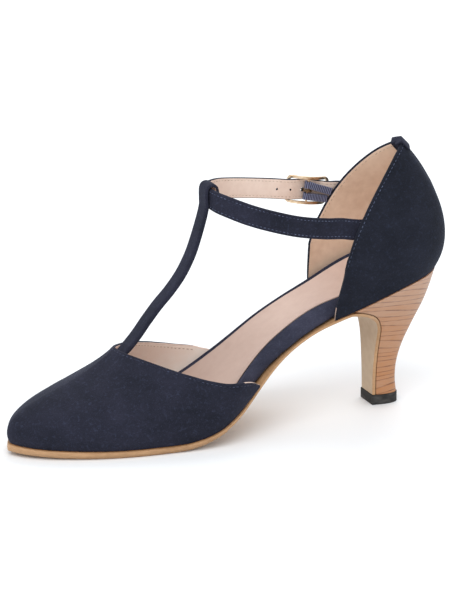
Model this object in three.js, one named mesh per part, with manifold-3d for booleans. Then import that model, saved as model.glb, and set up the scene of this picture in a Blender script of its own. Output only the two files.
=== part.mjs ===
// A woman's court shoe for the right foot, with a T-shaped strap, open waist and curved heel.
// Millimetres. X runs to the toe, Y to the inner side of the foot, Z up from the floor.
// The origin is on the floor, under the middle of the heel's tip.
import * as THREE from 'three';
import Module from 'manifold-3d';
import { mergeVertices } from 'three/addons/utils/BufferGeometryUtils.js';

const wasm = await Module();
wasm.setup();

// Sole and last
const SOLE_LENGTH = 227.2;
const SEAT_SETBACK = 27.6;
const SEAT_WIDTH = 51;
const WAIST_WIDTH = 42;
const BALL_WIDTH = 75;
const SEAT_HEIGHT = 70.3;
const TOE_SPRING = 2.4;
const FOREPART_THICKNESS = 3.4;
const WAIST_THICKNESS = 2.1;
const EDGE_BEVEL = 1.6;

// Clearances
const GAP = 0.3;
const SOLE_SEAM = 0.45;

// Heel and its breast
const TOP_PIECE_THICKNESS = 5.2;
const TOP_PIECE_OVERHANG = 0.4;
const HEEL_TIP_FRONT = 6.9;
const HEEL_TIP_BACK = 7.9;
const HEEL_TIP_WIDTH = 14.4;
const HEEL_TIP_ROUND = 0.6;
const BREAST_REACH = 23.6;
const BREAST_THICKNESS = 1.7;
const BREAST_LIP = 0.985;
const BREAST_TURN = 2;
const FLAP_BEVEL = 0.3;
const BLOCK_FRONT = HEEL_TIP_FRONT - BREAST_THICKNESS - GAP;

// Upper
const UPPER_WALL = 1.8;
const SOLE_EDGE_SHOW = 1.2;
const RIM_HEIGHT = 6;
const VAMP_TAIL_LENGTH = 122.3;
const THROAT_HEIGHT = 42.3;
const QUARTER_REACH = 33.5;
const QUARTER_OUTER_REACH = 29.2;
const QUARTER_HEIGHT = 64.6;
const BACK_TOP_SETBACK = 10;

// Footbed
const FOOTBED_THICKNESS = 3;
const ARCH_RISE = 13;
const OUTER_EDGE_RISE = 5.2;
const COVERED_EDGE_INSET = 0.6;
const SOCK_THICKNESS = 0.9;
const FOOTBED_LIP = 1.1;
const FOOTBED_END = 1.2;
const FOOTBED_RIM = 0.9;
const SOCK_STOPS_SHORT = 6;
const SOCK_GAP = GAP * 1.3;
const DISH_SHARPNESS = 2.6;
const EDGE_LEAN = 0.1;

// Back tab
const TAB_WIDTH = 8;
const TAB_DROP = 5.5;
const TAB_THICKNESS = 0.9;

// Centre strap and its loop
const T_STRAP_WIDTH = 9.5;
const T_STRAP_THICKNESS = 2.4;
const T_STRAP_SKIVED = 1.3;
const LOOP_WALL = 1.6;
const SLOT_CORNER = 0.8;

// Ankle strap
const STRAP_WIDTH = 10.4;
const STRAP_THICKNESS = 2;
const STRAP_FRONT = 92.7;
const STRAP_HALF_WIDTH = 22.5;
const STRAP_HEIGHT = 115.8;
const STRAP_FRONT_RADIUS = 15;
const HOLE_DIAMETER = 1.5;
const HOLE_PITCH = 7.4;
const TAIL_LENGTH = 13.5;
const TAIL_STEPS = [0.4, 0.7, 1];
const HIDDEN_END = [{ x: 9.5, high: 0.833 }, { x: 20.5, high: 0.839 }];

// Buckle
const BUCKLE_LENGTH = 22.6;
const BUCKLE_BAR = 1.5;
const BUCKLE_CLEARANCE = 0.4;
const BUCKLE_BOW = 3.1;
const CENTRE_BAR = 1;
const CENTRE_BAR_AHEAD = 0.8;
const PRONG_DIAMETER = 1.15;
const BUCKLE_AFTER = 21.2;
const BUCKLE_STANDOFF = 3.8;
const BUCKLE_CORNER = 1.8;
const BAR_CORNER = Math.hypot(CENTRE_BAR, BUCKLE_BAR) / 2;
const PRONG_TURN = BAR_CORNER + 1.3 * GAP + PRONG_DIAMETER / 2;
const PRONG_AHEAD = PRONG_TURN + GAP / 2;

// Elastic bands
const ELASTIC_WIDTH = 3.5;
const ELASTIC_THICKNESS = 0.6;
const ELASTIC_RIM = -8;
const ELASTIC_DROP = 1.5;

// Depth of the strap's middle in the buckle: under both end bars and over the centre bar
const STRAP_UNDER = -(BUCKLE_BAR / 2 + 2 * GAP + STRAP_THICKNESS / 2);
const BAND_TURN = BAR_CORNER + 1.6 * GAP + ELASTIC_THICKNESS / 2;
const BAND_OUTSIDE = BAND_TURN + ELASTIC_THICKNESS / 2;
const STRAP_OVER = -BUCKLE_BOW + BAND_OUTSIDE + 2 * GAP + STRAP_THICKNESS / 2;

// Facets of the round pieces
const EDGE_SAMPLES = 900;
const VAMP_FACETS = { along: 52, up: 12 };
const QUARTER_FACETS = { along: 38, up: 12 };
const HEEL_FACETS = 26;
const TAB_FACETS = 4;
const OUTSOLE_FACETS = 44;
const FOOTBED_FACETS = 32;
const STRAP_FACETS = 76;
const CORNER_STEPS = 3;
const RAIL_STEPS = 10;
const PRONG_STEPS = 34;
const LEVELS = [
  0, 0.06, 0.13, 0.22, 0.31, 0.4, 0.49, 0.58, 0.66, 0.73, 0.79, 0.84, 0.88, 0.915, 0.945, 0.97,
  BREAST_LIP,
];
const BASE_SHARES = [0, 0.1, 0.25, 0.38, 0.5, 0.65, 0.8, 1];
const ACROSS = [-1, -0.93, -0.8, -0.5, 0, 0.5, 0.8, 0.94, 1];

// Plan of the sole, from the back of the seat to the toe: shares of a named width, to each side
const SOLE_PLAN = [
  { at: 0, of: SEAT_WIDTH, inner: 0, outer: 0 },
  { at: 0.004, of: SEAT_WIDTH, inner: 0.128, outer: 0.128 },
  { at: 0.019, of: SEAT_WIDTH, inner: 0.255, outer: 0.255 },
  { at: 0.048, of: SEAT_WIDTH, inner: 0.38, outer: 0.382 },
  { at: 0.085, of: SEAT_WIDTH, inner: 0.458, outer: 0.465 },
  { at: 0.13, of: SEAT_WIDTH, inner: 0.492, outer: 0.506 },
  { at: 0.174, of: SEAT_WIDTH, inner: 0.488, outer: 0.512 },
  { at: 0.218, of: SEAT_WIDTH, inner: 0.454, outer: 0.502 },
  { at: 0.258, of: WAIST_WIDTH, inner: 0.488, outer: 0.598 },
  { at: 0.298, of: WAIST_WIDTH, inner: 0.426, outer: 0.6 },
  { at: 0.342, of: WAIST_WIDTH, inner: 0.421, outer: 0.624 },
  { at: 0.386, of: WAIST_WIDTH, inner: 0.452, outer: 0.655 },
  { at: 0.422, of: BALL_WIDTH, inner: 0.288, outer: 0.388 },
  { at: 0.451, of: BALL_WIDTH, inner: 0.33, outer: 0.409 },
  { at: 0.482, of: BALL_WIDTH, inner: 0.387, outer: 0.432 },
  { at: 0.517, of: BALL_WIDTH, inner: 0.45, outer: 0.466 },
  { at: 0.561, of: BALL_WIDTH, inner: 0.493, outer: 0.497 },
  { at: 0.614, of: BALL_WIDTH, inner: 0.496, outer: 0.517 },
  { at: 0.676, of: BALL_WIDTH, inner: 0.483, outer: 0.512 },
  { at: 0.747, of: BALL_WIDTH, inner: 0.465, outer: 0.478 },
  { at: 0.812, of: BALL_WIDTH, inner: 0.427, outer: 0.427 },
  { at: 0.865, of: BALL_WIDTH, inner: 0.379, outer: 0.366 },
  { at: 0.914, of: BALL_WIDTH, inner: 0.32, outer: 0.277 },
  { at: 0.957, of: BALL_WIDTH, inner: 0.248, outer: 0.16 },
  { at: 0.983, of: BALL_WIDTH, inner: 0.182, outer: 0.043 },
  { at: 0.996, of: BALL_WIDTH, inner: 0.13, outer: -0.05 },
  { at: 1, of: BALL_WIDTH, inner: 0.09, outer: -0.09 },
];

// Side profile that the upper stands on: climb is a share of the seat height, spring of the toe spring
const SOLE_PROFILE = [
  { at: -0.02, climb: 1.004, spring: 0 },
  { at: 0.029, climb: 0.988, spring: 0 },
  { at: 0.076, climb: 0.962, spring: 0 },
  { at: 0.121, climb: 0.921, spring: 0 },
  { at: 0.165, climb: 0.867, spring: 0 },
  { at: 0.209, climb: 0.804, spring: 0 },
  { at: 0.253, climb: 0.735, spring: 0 },
  { at: 0.298, climb: 0.667, spring: 0 },
  { at: 0.342, climb: 0.59, spring: 0 },
  { at: 0.386, climb: 0.498, spring: 0 },
  { at: 0.43, climb: 0.384, spring: 0 },
  { at: 0.473, climb: 0.267, spring: 0 },
  { at: 0.517, climb: 0.159, spring: 0 },
  { at: 0.561, climb: 0.076, spring: 0 },
  { at: 0.606, climb: 0.025, spring: 0 },
  { at: 0.643, climb: 0.004, spring: 0 },
  { at: 0.678, climb: 0, spring: 0 },
  { at: 0.782, climb: 0, spring: 0 },
  { at: 0.847, climb: 0, spring: 0.14 },
  { at: 0.914, climb: 0, spring: 0.4 },
  { at: 0.961, climb: 0, spring: 0.68 },
  { at: 1, climb: 0, spring: 1 },
];

// Heel by levels from the top piece to the seat: how far each edge has moved from tip to seat
const HEEL_LEVELS = [
  { at: 0, breast: 0, back: 0, corner: 0, rear: 0 },
  { at: 0.12, breast: 0.005, back: -0.052, corner: 0, rear: -0.02 },
  { at: 0.25, breast: 0.006, back: -0.009, corner: 0.02, rear: -0.01 },
  { at: 0.38, breast: 0, back: 0.14, corner: 0.07, rear: 0.04 },
  { at: 0.5, breast: -0.006, back: 0.346, corner: 0.13, rear: 0.13 },
  { at: 0.62, breast: -0.018, back: 0.569, corner: 0.23, rear: 0.28 },
  { at: 0.72, breast: -0.005, back: 0.748, corner: 0.33, rear: 0.47 },
  { at: 0.8, breast: 0.07, back: 0.845, corner: 0.44, rear: 0.64 },
  { at: 0.87, breast: 0.21, back: 0.917, corner: 0.58, rear: 0.79 },
  { at: 0.93, breast: 0.45, back: 0.961, corner: 0.75, rear: 0.9 },
  { at: 0.97, breast: 0.74, back: 0.986, corner: 0.88, rear: 0.955 },
  { at: 1, breast: 1, back: 1, corner: 1, rear: 1 },
];

// Top line of the vamp from its tail at the waist to the throat. at: share of the way round the sole's
// edge, back: from the toe (of the tail length), inner and outer: sideways (of half the ball width),
// high: of the throat height, dip: how much lower the outer side lies.
const VAMP_TOP_ROWS = [
  { at: 0, back: 1, inner: 0.68, outer: 0.83, high: 0.05, dip: 0 },
  { at: 0.035, back: 0.972, inner: 0.755, outer: 0.862, high: 0.175, dip: 0.03 },
  { at: 0.067, back: 0.945, inner: 0.813, outer: 0.887, high: 0.268, dip: 0.045 },
  { at: 0.105, back: 0.917, inner: 0.86, outer: 0.903, high: 0.345, dip: 0.038 },
  { at: 0.18, back: 0.854, inner: 0.9, outer: 0.908, high: 0.473, dip: 0.018 },
  { at: 0.26, back: 0.781, inner: 0.86, outer: 0.857, high: 0.612, dip: 0.01 },
  { at: 0.37, back: 0.695, inner: 0.75, outer: 0.745, high: 0.747, dip: 0.012 },
  { at: 0.515, back: 0.61, inner: 0.585, outer: 0.575, high: 0.843, dip: 0.018 },
  { at: 0.64, back: 0.548, inner: 0.415, outer: 0.4, high: 0.903, dip: 0.035 },
  { at: 0.78, back: 0.503, inner: 0.23, outer: 0.22, high: 0.938, dip: 0.035 },
  { at: 0.88, back: 0.486, inner: 0.102, outer: 0.095, high: 0.949, dip: 0.015 },
  { at: 1, back: 0.481, inner: 0, outer: 0, high: 0.952, dip: 0 },
];

// Curve of the vamp's wall at the same places. lift and drop: of its height, reach: of its spread,
// low and full: outward swell of its lower and upper part (of the ball width).
const VAMP_WALL_ROWS = [
  { at: 0, lift: 0.33, drop: 0.33, reach: 0.33, low: 0.024, full: 0 },
  { at: 0.067, lift: 0.33, drop: 0.33, reach: 0.33, low: 0.028, full: 0.002 },
  { at: 0.105, lift: 0.34, drop: 0.33, reach: 0.33, low: 0.032, full: 0.006 },
  { at: 0.18, lift: 0.36, drop: 0.33, reach: 0.36, low: 0.038, full: 0.012 },
  { at: 0.26, lift: 0.39, drop: 0.32, reach: 0.5, low: 0.042, full: 0.012 },
  { at: 0.37, lift: 0.41, drop: 0.31, reach: 0.62, low: 0.042, full: 0.006 },
  { at: 0.515, lift: 0.46, drop: 0.34, reach: 0.56, low: 0.04, full: 0 },
  { at: 0.64, lift: 0.5, drop: 0.42, reach: 0.5, low: 0.04, full: -0.004 },
  { at: 0.78, lift: 0.49, drop: 0.49, reach: 0.45, low: 0.066, full: -0.006 },
  { at: 0.88, lift: 0.47, drop: 0.52, reach: 0.42, low: 0.096, full: -0.004 },
  { at: 1, lift: 0.46, drop: 0.53, reach: 0.42, low: 0.122, full: -0.002 },
];

// Top line of the quarter from its front edge to the middle of the back. at: share of the seat's edge,
// inner and outer: ahead on that side (of the way from the back's top to the front edge), side: sideways
// (of half the seat width), high: of the quarter's height.
const QUARTER_TOP_ROWS = [
  { at: 0, inner: 0.902, outer: 0.902, side: 0.953, high: 0.139 },
  { at: 0.16, inner: 0.851, outer: 0.856, side: 0.933, high: 0.262 },
  { at: 0.3, inner: 0.758, outer: 0.768, side: 0.875, high: 0.402 },
  { at: 0.43, inner: 0.62, outer: 0.662, side: 0.78, high: 0.552 },
  { at: 0.57, inner: 0.462, outer: 0.528, side: 0.655, high: 0.694 },
  { at: 0.69, inner: 0.275, outer: 0.348, side: 0.475, high: 0.836 },
  { at: 0.8, inner: 0.138, outer: 0.192, side: 0.314, high: 0.927 },
  { at: 0.9, inner: 0.044, outer: 0.068, side: 0.165, high: 0.977 },
  { at: 1, inner: 0, outer: 0, side: 0, high: 1 },
];

// Curve of the quarter's wall at the same places; the columns are as on the vamp, of the seat width
const QUARTER_WALL_ROWS = [
  { at: 0, lift: 0.33, drop: 0.33, reach: 0.33, low: 0.04, full: 0.012 },
  { at: 0.16, lift: 0.34, drop: 0.33, reach: 0.33, low: 0.052, full: 0.026 },
  { at: 0.3, lift: 0.35, drop: 0.33, reach: 0.33, low: 0.062, full: 0.04 },
  { at: 0.43, lift: 0.35, drop: 0.34, reach: 0.34, low: 0.075, full: 0.056 },
  { at: 0.57, lift: 0.35, drop: 0.34, reach: 0.36, low: 0.11, full: 0.08 },
  { at: 0.69, lift: 0.34, drop: 0.33, reach: 0.4, low: 0.15, full: 0.105 },
  { at: 0.8, lift: 0.31, drop: 0.3, reach: 0.46, low: 0.213, full: 0.1 },
  { at: 0.9, lift: 0.29, drop: 0.26, reach: 0.54, low: 0.264, full: 0.104 },
  { at: 1, lift: 0.28, drop: 0.24, reach: 0.6, low: 0.283, full: 0.105 },
];

// Footbed's edges along the sole. inner and outer: rise of that edge (of the arch and edge rises),
// hold: 1 where the upper holds the footbed in, 0 where its covered edge reaches the sole's edge.
const FOOTBED_ROWS = [
  { at: 0, inner: 0.42, outer: 1.05, hold: 1 },
  { at: 0.083, inner: 0.5, outer: 1.5, hold: 1 },
  { at: 0.184, inner: 0.66, outer: 1.7, hold: 1 },
  { at: 0.258, inner: 0.8, outer: 1.66, hold: 1 },
  { at: 0.309, inner: 0.92, outer: 1.22, hold: 0 },
  { at: 0.384, inner: 0.97, outer: 1.1, hold: 0 },
  { at: 0.439, inner: 1, outer: 1.44, hold: 1 },
  { at: 0.503, inner: 1.02, outer: 1.4, hold: 1 },
  { at: 0.563, inner: 0.62, outer: 1, hold: 1 },
  { at: 0.623, inner: 0.3, outer: 0.7, hold: 1 },
  { at: 0.703, inner: 0.23, outer: 0.58, hold: 1 },
  { at: 1, inner: 0.23, outer: 0.58, hold: 1 },
];

// Centre strap in side view, from its hidden end to the loop: forward of the ankle strap's front and
// up, as shares of the way to the throat and of the way from the throat up to the ankle strap
const T_STRAP_ROWS = [
  { ahead: 1.14, high: -0.15, full: 0 },
  { ahead: 1.07, high: -0.102, full: 0 },
  { ahead: 0.99, high: -0.05, full: 0 },
  { ahead: 0.893, high: 0.011, full: 1 },
  { ahead: 0.79, high: 0.087, full: 1 },
  { ahead: 0.691, high: 0.173, full: 1 },
  { ahead: 0.562, high: 0.278, full: 1 },
  { ahead: 0.43, high: 0.372, full: 1 },
  { ahead: 0.313, high: 0.472, full: 1 },
  { ahead: 0.226, high: 0.574, full: 1 },
  { ahead: 0.165, high: 0.67, full: 1 },
  { ahead: 0.095, high: 0.779, full: 1 },
];

// Ankle strap's middle line from beside the quarter's inner edge round the front to the buckle:
// ahead (of the front), side (of the half width, inner positive), high (of the strap height)
const STRAP_ROWS = [
  { ahead: 0.324, side: 0.838, high: 0.847 },
  { ahead: 0.416, side: 0.897, high: 0.857 },
  { ahead: 0.581, side: 0.96, high: 0.883 },
  { ahead: 0.744, side: 0.916, high: 0.921 },
  { ahead: 0.846, side: 0.815, high: 0.949 },
  { ahead: 0.931, side: 0.622, high: 0.976 },
  { ahead: 0.985, side: 0.356, high: 0.993 },
  { ahead: 1, side: 0.06, high: 1 },
  { ahead: 0.99, side: -0.25, high: 1 },
  { ahead: 0.95, side: -0.51, high: 0.998 },
  { ahead: 0.88, side: -0.725, high: 0.993 },
  { ahead: 0.788, side: -0.86, high: 0.982 },
  { ahead: 0.668, side: -0.955, high: 0.967 },
  { ahead: 0.551, side: -1, high: 0.953 },
];

// Value of one column of a table between its rows, without overshoot
function tableValue(rows, column, at) {
  const last = rows.length - 1;
  if (at <= rows[0].at) return rows[0][column];
  if (at >= rows[last].at) return rows[last][column];
  let row = 0;
  while (rows[row + 1].at < at) row += 1;
  const span = rows[row + 1].at - rows[row].at;
  const share = (at - rows[row].at) / span;
  const startSlope = rowSlope(rows, column, row) * span;
  const endSlope = rowSlope(rows, column, row + 1) * span;
  const start = rows[row][column];
  const end = rows[row + 1][column];
  const square = share * share;
  const cube = square * share;
  return start * (2 * cube - 3 * square + 1) + startSlope * (cube - 2 * square + share)
    + end * (3 * square - 2 * cube) + endSlope * (cube - square);
}

// Slope of a column at one of its rows: the harmonic mean of the slopes on both sides
function rowSlope(rows, column, row) {
  const stepSlope = (from) => {
    const rise = rows[from + 1][column] - rows[from][column];
    return rise / (rows[from + 1].at - rows[from].at);
  };
  if (row === 0) return stepSlope(0);
  if (row === rows.length - 1) return stepSlope(row - 1);
  const before = stepSlope(row - 1);
  const after = stepSlope(row);
  if (before * after <= 0) return 0;
  return 2 * before * after / (before + after);
}

// Smooth step from 0 to 1 between two places
function blend(value, from, to) {
  const share = THREE.MathUtils.clamp((value - from) / (to - from), 0, 1);
  return share * share * (3 - 2 * share);
}

// Share of the sole's length at X
function soleShare(x) {
  return (x + SEAT_SETBACK) / SOLE_LENGTH;
}

// X at a share of the sole's length
function soleX(share) {
  return share * SOLE_LENGTH - SEAT_SETBACK;
}

// Height of the surface that the upper and the footbed stand on
function soleTop(x) {
  const at = soleShare(x);
  const climb = tableValue(SOLE_PROFILE, 'climb', at) * (SEAT_HEIGHT - FOREPART_THICKNESS);
  return FOREPART_THICKNESS + climb + tableValue(SOLE_PROFILE, 'spring', at) * TOE_SPRING;
}

// The sole's closed edge in plan: back of the seat, inner side, toe, outer side
function makeSoleEdge() {
  const spot = (row, side) => new THREE.Vector3(soleX(row.at), side * row.of, 0);
  const inner = SOLE_PLAN.map((row) => spot(row, row.inner));
  const outer = SOLE_PLAN.slice(1, -1).map((row) => spot(row, -row.outer));
  const edge = new THREE.CatmullRomCurve3([...inner, ...outer.reverse()], true, 'centripetal');
  edge.arcLengthDivisions = EDGE_SAMPLES;
  return edge;
}

const soleEdge = makeSoleEdge();

// Point of the sole's edge at a share of its way round, moved inwards, with its outward direction
function edgePoint(turn, inset = 0) {
  const share = THREE.MathUtils.euclideanModulo(turn, 1);
  const along = soleEdge.getTangentAt(share);
  const outward = new THREE.Vector3(-along.y, along.x, 0).normalize();
  const point = soleEdge.getPointAt(share).addScaledVector(outward, -inset);
  return { point, outward };
}

// Share of the way round at which the moved edge of one side passes X
function edgeTurn(side, x, inset = 0) {
  let low = 0;
  let high = TOE_TURN;
  for (let step = 0; step < 26; step += 1) {
    const middle = (low + high) / 2;
    const turn = side > 0 ? middle : -middle * (1 - TOE_TURN) / TOE_TURN;
    if (edgePoint(turn, inset).point.x < x) low = middle;
    else high = middle;
  }
  const middle = (low + high) / 2;
  return side > 0 ? middle : -middle * (1 - TOE_TURN) / TOE_TURN;
}

// Share of the way round at which the toe's tip lies
function findToeTurn() {
  let best = 0.5;
  for (let step = 0; step <= EDGE_SAMPLES; step += 1) {
    const turn = 0.4 + 0.2 * step / EDGE_SAMPLES;
    if (soleEdge.getPointAt(turn).x > soleEdge.getPointAt(best).x) best = turn;
  }
  return best;
}

const TOE_TURN = findToeTurn();

// Half width of the moved edge at X on one side, with its sign
function edgeY(side, x, inset = 0) {
  return edgePoint(edgeTurn(side, x, inset), inset).point.y;
}

// Geometry from points and triangles, turned so that its faces point out
function closedGeometry(points, triangles) {
  let volume = 0;
  const cross = new THREE.Vector3();
  for (const [a, b, c] of triangles) {
    volume += points[a].dot(cross.crossVectors(points[b], points[c]));
  }
  const geometry = new THREE.BufferGeometry();
  geometry.setFromPoints(points);
  geometry.setIndex(triangles.flatMap(([a, b, c]) => (volume > 0 ? [a, b, c] : [a, c, b])));
  geometry.computeVertexNormals();
  return geometry;
}

// Closed wall between two equal grids of points
function wallGeometry(outside, inside) {
  const rows = outside.length;
  const columns = outside[0].length;
  const points = [...outside.flat(), ...inside.flat()];
  const place = (face, row, column) => (face * rows + row) * columns + column;
  const triangles = [];
  const quad = (a, b, c, d) => triangles.push([a, b, c], [a, c, d]);
  for (let row = 0; row < rows - 1; row += 1) {
    for (let column = 0; column < columns - 1; column += 1) {
      quad(place(0, row, column), place(0, row + 1, column),
        place(0, row + 1, column + 1), place(0, row, column + 1));
      quad(place(1, row, column), place(1, row, column + 1),
        place(1, row + 1, column + 1), place(1, row + 1, column));
    }
  }
  for (let row = 0; row < rows - 1; row += 1) {
    const end = columns - 1;
    quad(place(0, row, 0), place(1, row, 0), place(1, row + 1, 0), place(0, row + 1, 0));
    quad(place(0, row, end), place(0, row + 1, end), place(1, row + 1, end), place(1, row, end));
  }
  for (let column = 0; column < columns - 1; column += 1) {
    const end = rows - 1;
    quad(place(0, 0, column), place(0, 0, column + 1), place(1, 0, column + 1), place(1, 0, column));
    quad(place(0, end, column), place(1, end, column),
      place(1, end, column + 1), place(0, end, column + 1));
  }
  return closedGeometry(points, triangles);
}

// Closed body through equal rings of points; each end is capped in strips from side to side
function loftGeometry(rings) {
  const count = rings[0].length;
  const points = rings.flat();
  const triangles = [];
  for (let ring = 0; ring < rings.length - 1; ring += 1) {
    for (let spot = 0; spot < count; spot += 1) {
      const next = (spot + 1) % count;
      const here = ring * count;
      const there = here + count;
      triangles.push([here + spot, here + next, there + next], [here + spot, there + next, there + spot]);
    }
  }
  const capRing = (start, flip) => {
    for (let low = 0; low < count / 2 - 1; low += 1) {
      const high = count - 1 - low;
      const strip = [[low, low + 1, high], [low + 1, high - 1, high]];
      for (const corners of strip) {
        const [a, b, c] = corners.map((corner) => start + corner);
        if (a !== b) triangles.push(flip ? [a, b, c] : [a, c, b]);
      }
    }
  };
  capRing(0, false);
  capRing((rings.length - 1) * count, true);
  return closedGeometry(points, triangles);
}

// Wall of the upper: a grid from a surface function, thickened along its outward normals; a negative
// depth thickens it inwards. Its whole bottom rim follows the sole, so that the wall stands on it.
function upperWall(surface, rows, columns, depth) {
  const drawn = [];
  const other = [];
  for (let row = 0; row <= rows; row += 1) {
    const along = row / rows;
    drawn.push([]);
    other.push([]);
    for (let column = 0; column <= columns; column += 1) {
      const up = column / columns;
      const point = surface(along, up);
      const moved = point.clone().addScaledVector(surfaceNormal(surface, along, up), depth);
      moved.z += (soleTop(moved.x) - soleTop(point.x)) * (1 - freeShare(surface, along, up));
      drawn[row].push(point);
      other[row].push(moved);
    }
  }
  return wallGeometry(drawn, other);
}

// How far a place of the wall is free of the rim at the sole: 0 at the sole, 1 from the rim height up
function freeShare(surface, along, up) {
  return blend(surface(along, up).z - surface(along, 0).z, 0, RIM_HEIGHT);
}

// Outward normal of a surface function, read a little inside its rims; it lies level at the bottom
function surfaceNormal(surface, along, up) {
  const step = 0.012;
  const across = THREE.MathUtils.clamp(along, 3 * step, 1 - 3 * step);
  const high = THREE.MathUtils.clamp(up, step, 1 - 3 * step);
  const ahead = surface(across + step, high).sub(surface(across - step, high));
  const above = surface(across, high + step).sub(surface(across, high - step));
  const normal = ahead.cross(above);
  normal.z *= freeShare(surface, along, up);
  return normal.normalize();
}

// Curved line of the upper's wall from its bottom to its top line
function wallCurve(bottom, outward, top, row) {
  const height = top.z - bottom.z;
  const spread = new THREE.Vector3(bottom.x - top.x, bottom.y - top.y, 0);
  const lower = bottom.clone().addScaledVector(outward, row.low);
  lower.z += row.lift * height;
  const upper = top.clone().addScaledVector(spread, row.reach).addScaledVector(outward, row.full);
  upper.z -= row.drop * height;
  return new THREE.CubicBezierCurve3(bottom, lower, upper, top);
}

// Columns that shape the wall, at one place of a table; the swells are shares of a width
function wallRow(rows, at, width) {
  return {
    lift: tableValue(rows, 'lift', at),
    drop: tableValue(rows, 'drop', at),
    reach: tableValue(rows, 'reach', at),
    low: tableValue(rows, 'low', at) * width,
    full: tableValue(rows, 'full', at) * width,
  };
}

// Inner surface of the vamp, as it lies on the last: along runs from the outer tail round the toe to
// the inner tail, so that its normals point out
function vampSurface(along, up) {
  const side = along > 0.5 ? 1 : -1;
  const at = 1 - Math.abs(2 * along - 1);
  const toeX = soleX(1);
  const tailTurn = side > 0 ? VAMP_TAIL_TURNS.inner : VAMP_TAIL_TURNS.outer;
  const toeTurn = side > 0 ? TOE_TURN : TOE_TURN - 1;
  const turn = tailTurn + (toeTurn - tailTurn) * at;
  const inset = UPPER_WALL + SOLE_EDGE_SHOW * blend(at, 0, 0.12);
  const { point, outward } = edgePoint(turn, inset);
  point.z = soleTop(point.x) + SOLE_SEAM;
  const topX = toeX - tableValue(VAMP_TOP_ROWS, 'back', at) * VAMP_TAIL_LENGTH;
  const topY = side * tableValue(VAMP_TOP_ROWS, side > 0 ? 'inner' : 'outer', at) * BALL_WIDTH / 2;
  const dip = side > 0 ? 0 : tableValue(VAMP_TOP_ROWS, 'dip', at);
  const topZ = soleTop(topX) + SOLE_SEAM + (tableValue(VAMP_TOP_ROWS, 'high', at) - dip) * THROAT_HEIGHT;
  const top = new THREE.Vector3(topX, topY, topZ);
  return wallCurve(point, outward, top, wallRow(VAMP_WALL_ROWS, at, BALL_WIDTH)).getPoint(up);
}

const VAMP_TAIL_TURNS = {
  inner: edgeTurn(1, soleX(1) - VAMP_TAIL_LENGTH),
  outer: edgeTurn(-1, soleX(1) - VAMP_TAIL_LENGTH),
};

// Outer surface of the quarter: along runs from the inner front edge round the back to the outer one
function quarterSurface(along, up) {
  const side = along < 0.5 ? 1 : -1;
  const at = 1 - Math.abs(2 * along - 1);
  const frontTurn = side > 0 ? QUARTER_TURNS.inner : QUARTER_TURNS.outer;
  const { point, outward } = edgePoint(frontTurn * (1 - at), GAP);
  point.z = soleTop(point.x) + SOLE_SEAM;
  const share = tableValue(QUARTER_TOP_ROWS, side > 0 ? 'inner' : 'outer', at);
  const ahead = share * (QUARTER_REACH + BACK_TOP_SETBACK);
  const topY = side * tableValue(QUARTER_TOP_ROWS, 'side', at) * SEAT_WIDTH / 2;
  const topZ = SEAT_HEIGHT + tableValue(QUARTER_TOP_ROWS, 'high', at) * QUARTER_HEIGHT;
  const top = new THREE.Vector3(ahead - BACK_TOP_SETBACK, topY, topZ);
  return wallCurve(point, outward, top, wallRow(QUARTER_WALL_ROWS, at, SEAT_WIDTH)).getPoint(up);
}

const QUARTER_TURNS = {
  inner: edgeTurn(1, QUARTER_REACH),
  outer: edgeTurn(-1, QUARTER_OUTER_REACH),
};

function makeVamp() {
  return upperWall(vampSurface, VAMP_FACETS.along, VAMP_FACETS.up, UPPER_WALL);
}

function makeQuarter() {
  return upperWall(quarterSurface, QUARTER_FACETS.along, QUARTER_FACETS.up, -UPPER_WALL);
}

// Place on the quarter's side at X and a height: the point, the outward normal and the upward direction
function quarterSide(side, x, height) {
  let back = 0.5;
  let front = side > 0 ? 0 : 1;
  let up = 0.5;
  for (let step = 0; step < 18; step += 1) {
    const along = (back + front) / 2;
    up = quarterRise(along, height);
    if (quarterSurface(along, up).x < x) back = along;
    else front = along;
  }
  const point = quarterSurface(back, up);
  const outward = surfaceNormal(quarterSurface, back, up);
  const above = quarterSurface(back, Math.min(up + 0.05, 1));
  const rise = above.sub(quarterSurface(back, Math.max(up - 0.05, 0)));
  return { point, outward, rise: rise.normalize() };
}

// Share of the quarter's wall at which it passes a height
function quarterRise(along, height) {
  let low = 0;
  let high = 1;
  for (let step = 0; step < 18; step += 1) {
    const middle = (low + high) / 2;
    if (quarterSurface(along, middle).z < height) low = middle;
    else high = middle;
  }
  return (low + high) / 2;
}

// Place on the quarter's front edge at a height: the middle of the wall and the edge's own direction
function quarterRim(side, height) {
  let low = side > 0 ? 0 : 1;
  let high = 0.5;
  for (let step = 0; step < 18; step += 1) {
    const middle = (low + high) / 2;
    if (quarterSurface(middle, 1).z < height) low = middle;
    else high = middle;
  }
  const point = quarterSurface(low, 1);
  const inwards = surfaceNormal(quarterSurface, low, 1).multiplyScalar(-UPPER_WALL / 2);
  const step = 0.01 * side;
  const direction = quarterSurface(low + step, 1).sub(quarterSurface(low - step, 1)).normalize();
  return { point: point.add(inwards), direction };
}

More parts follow.
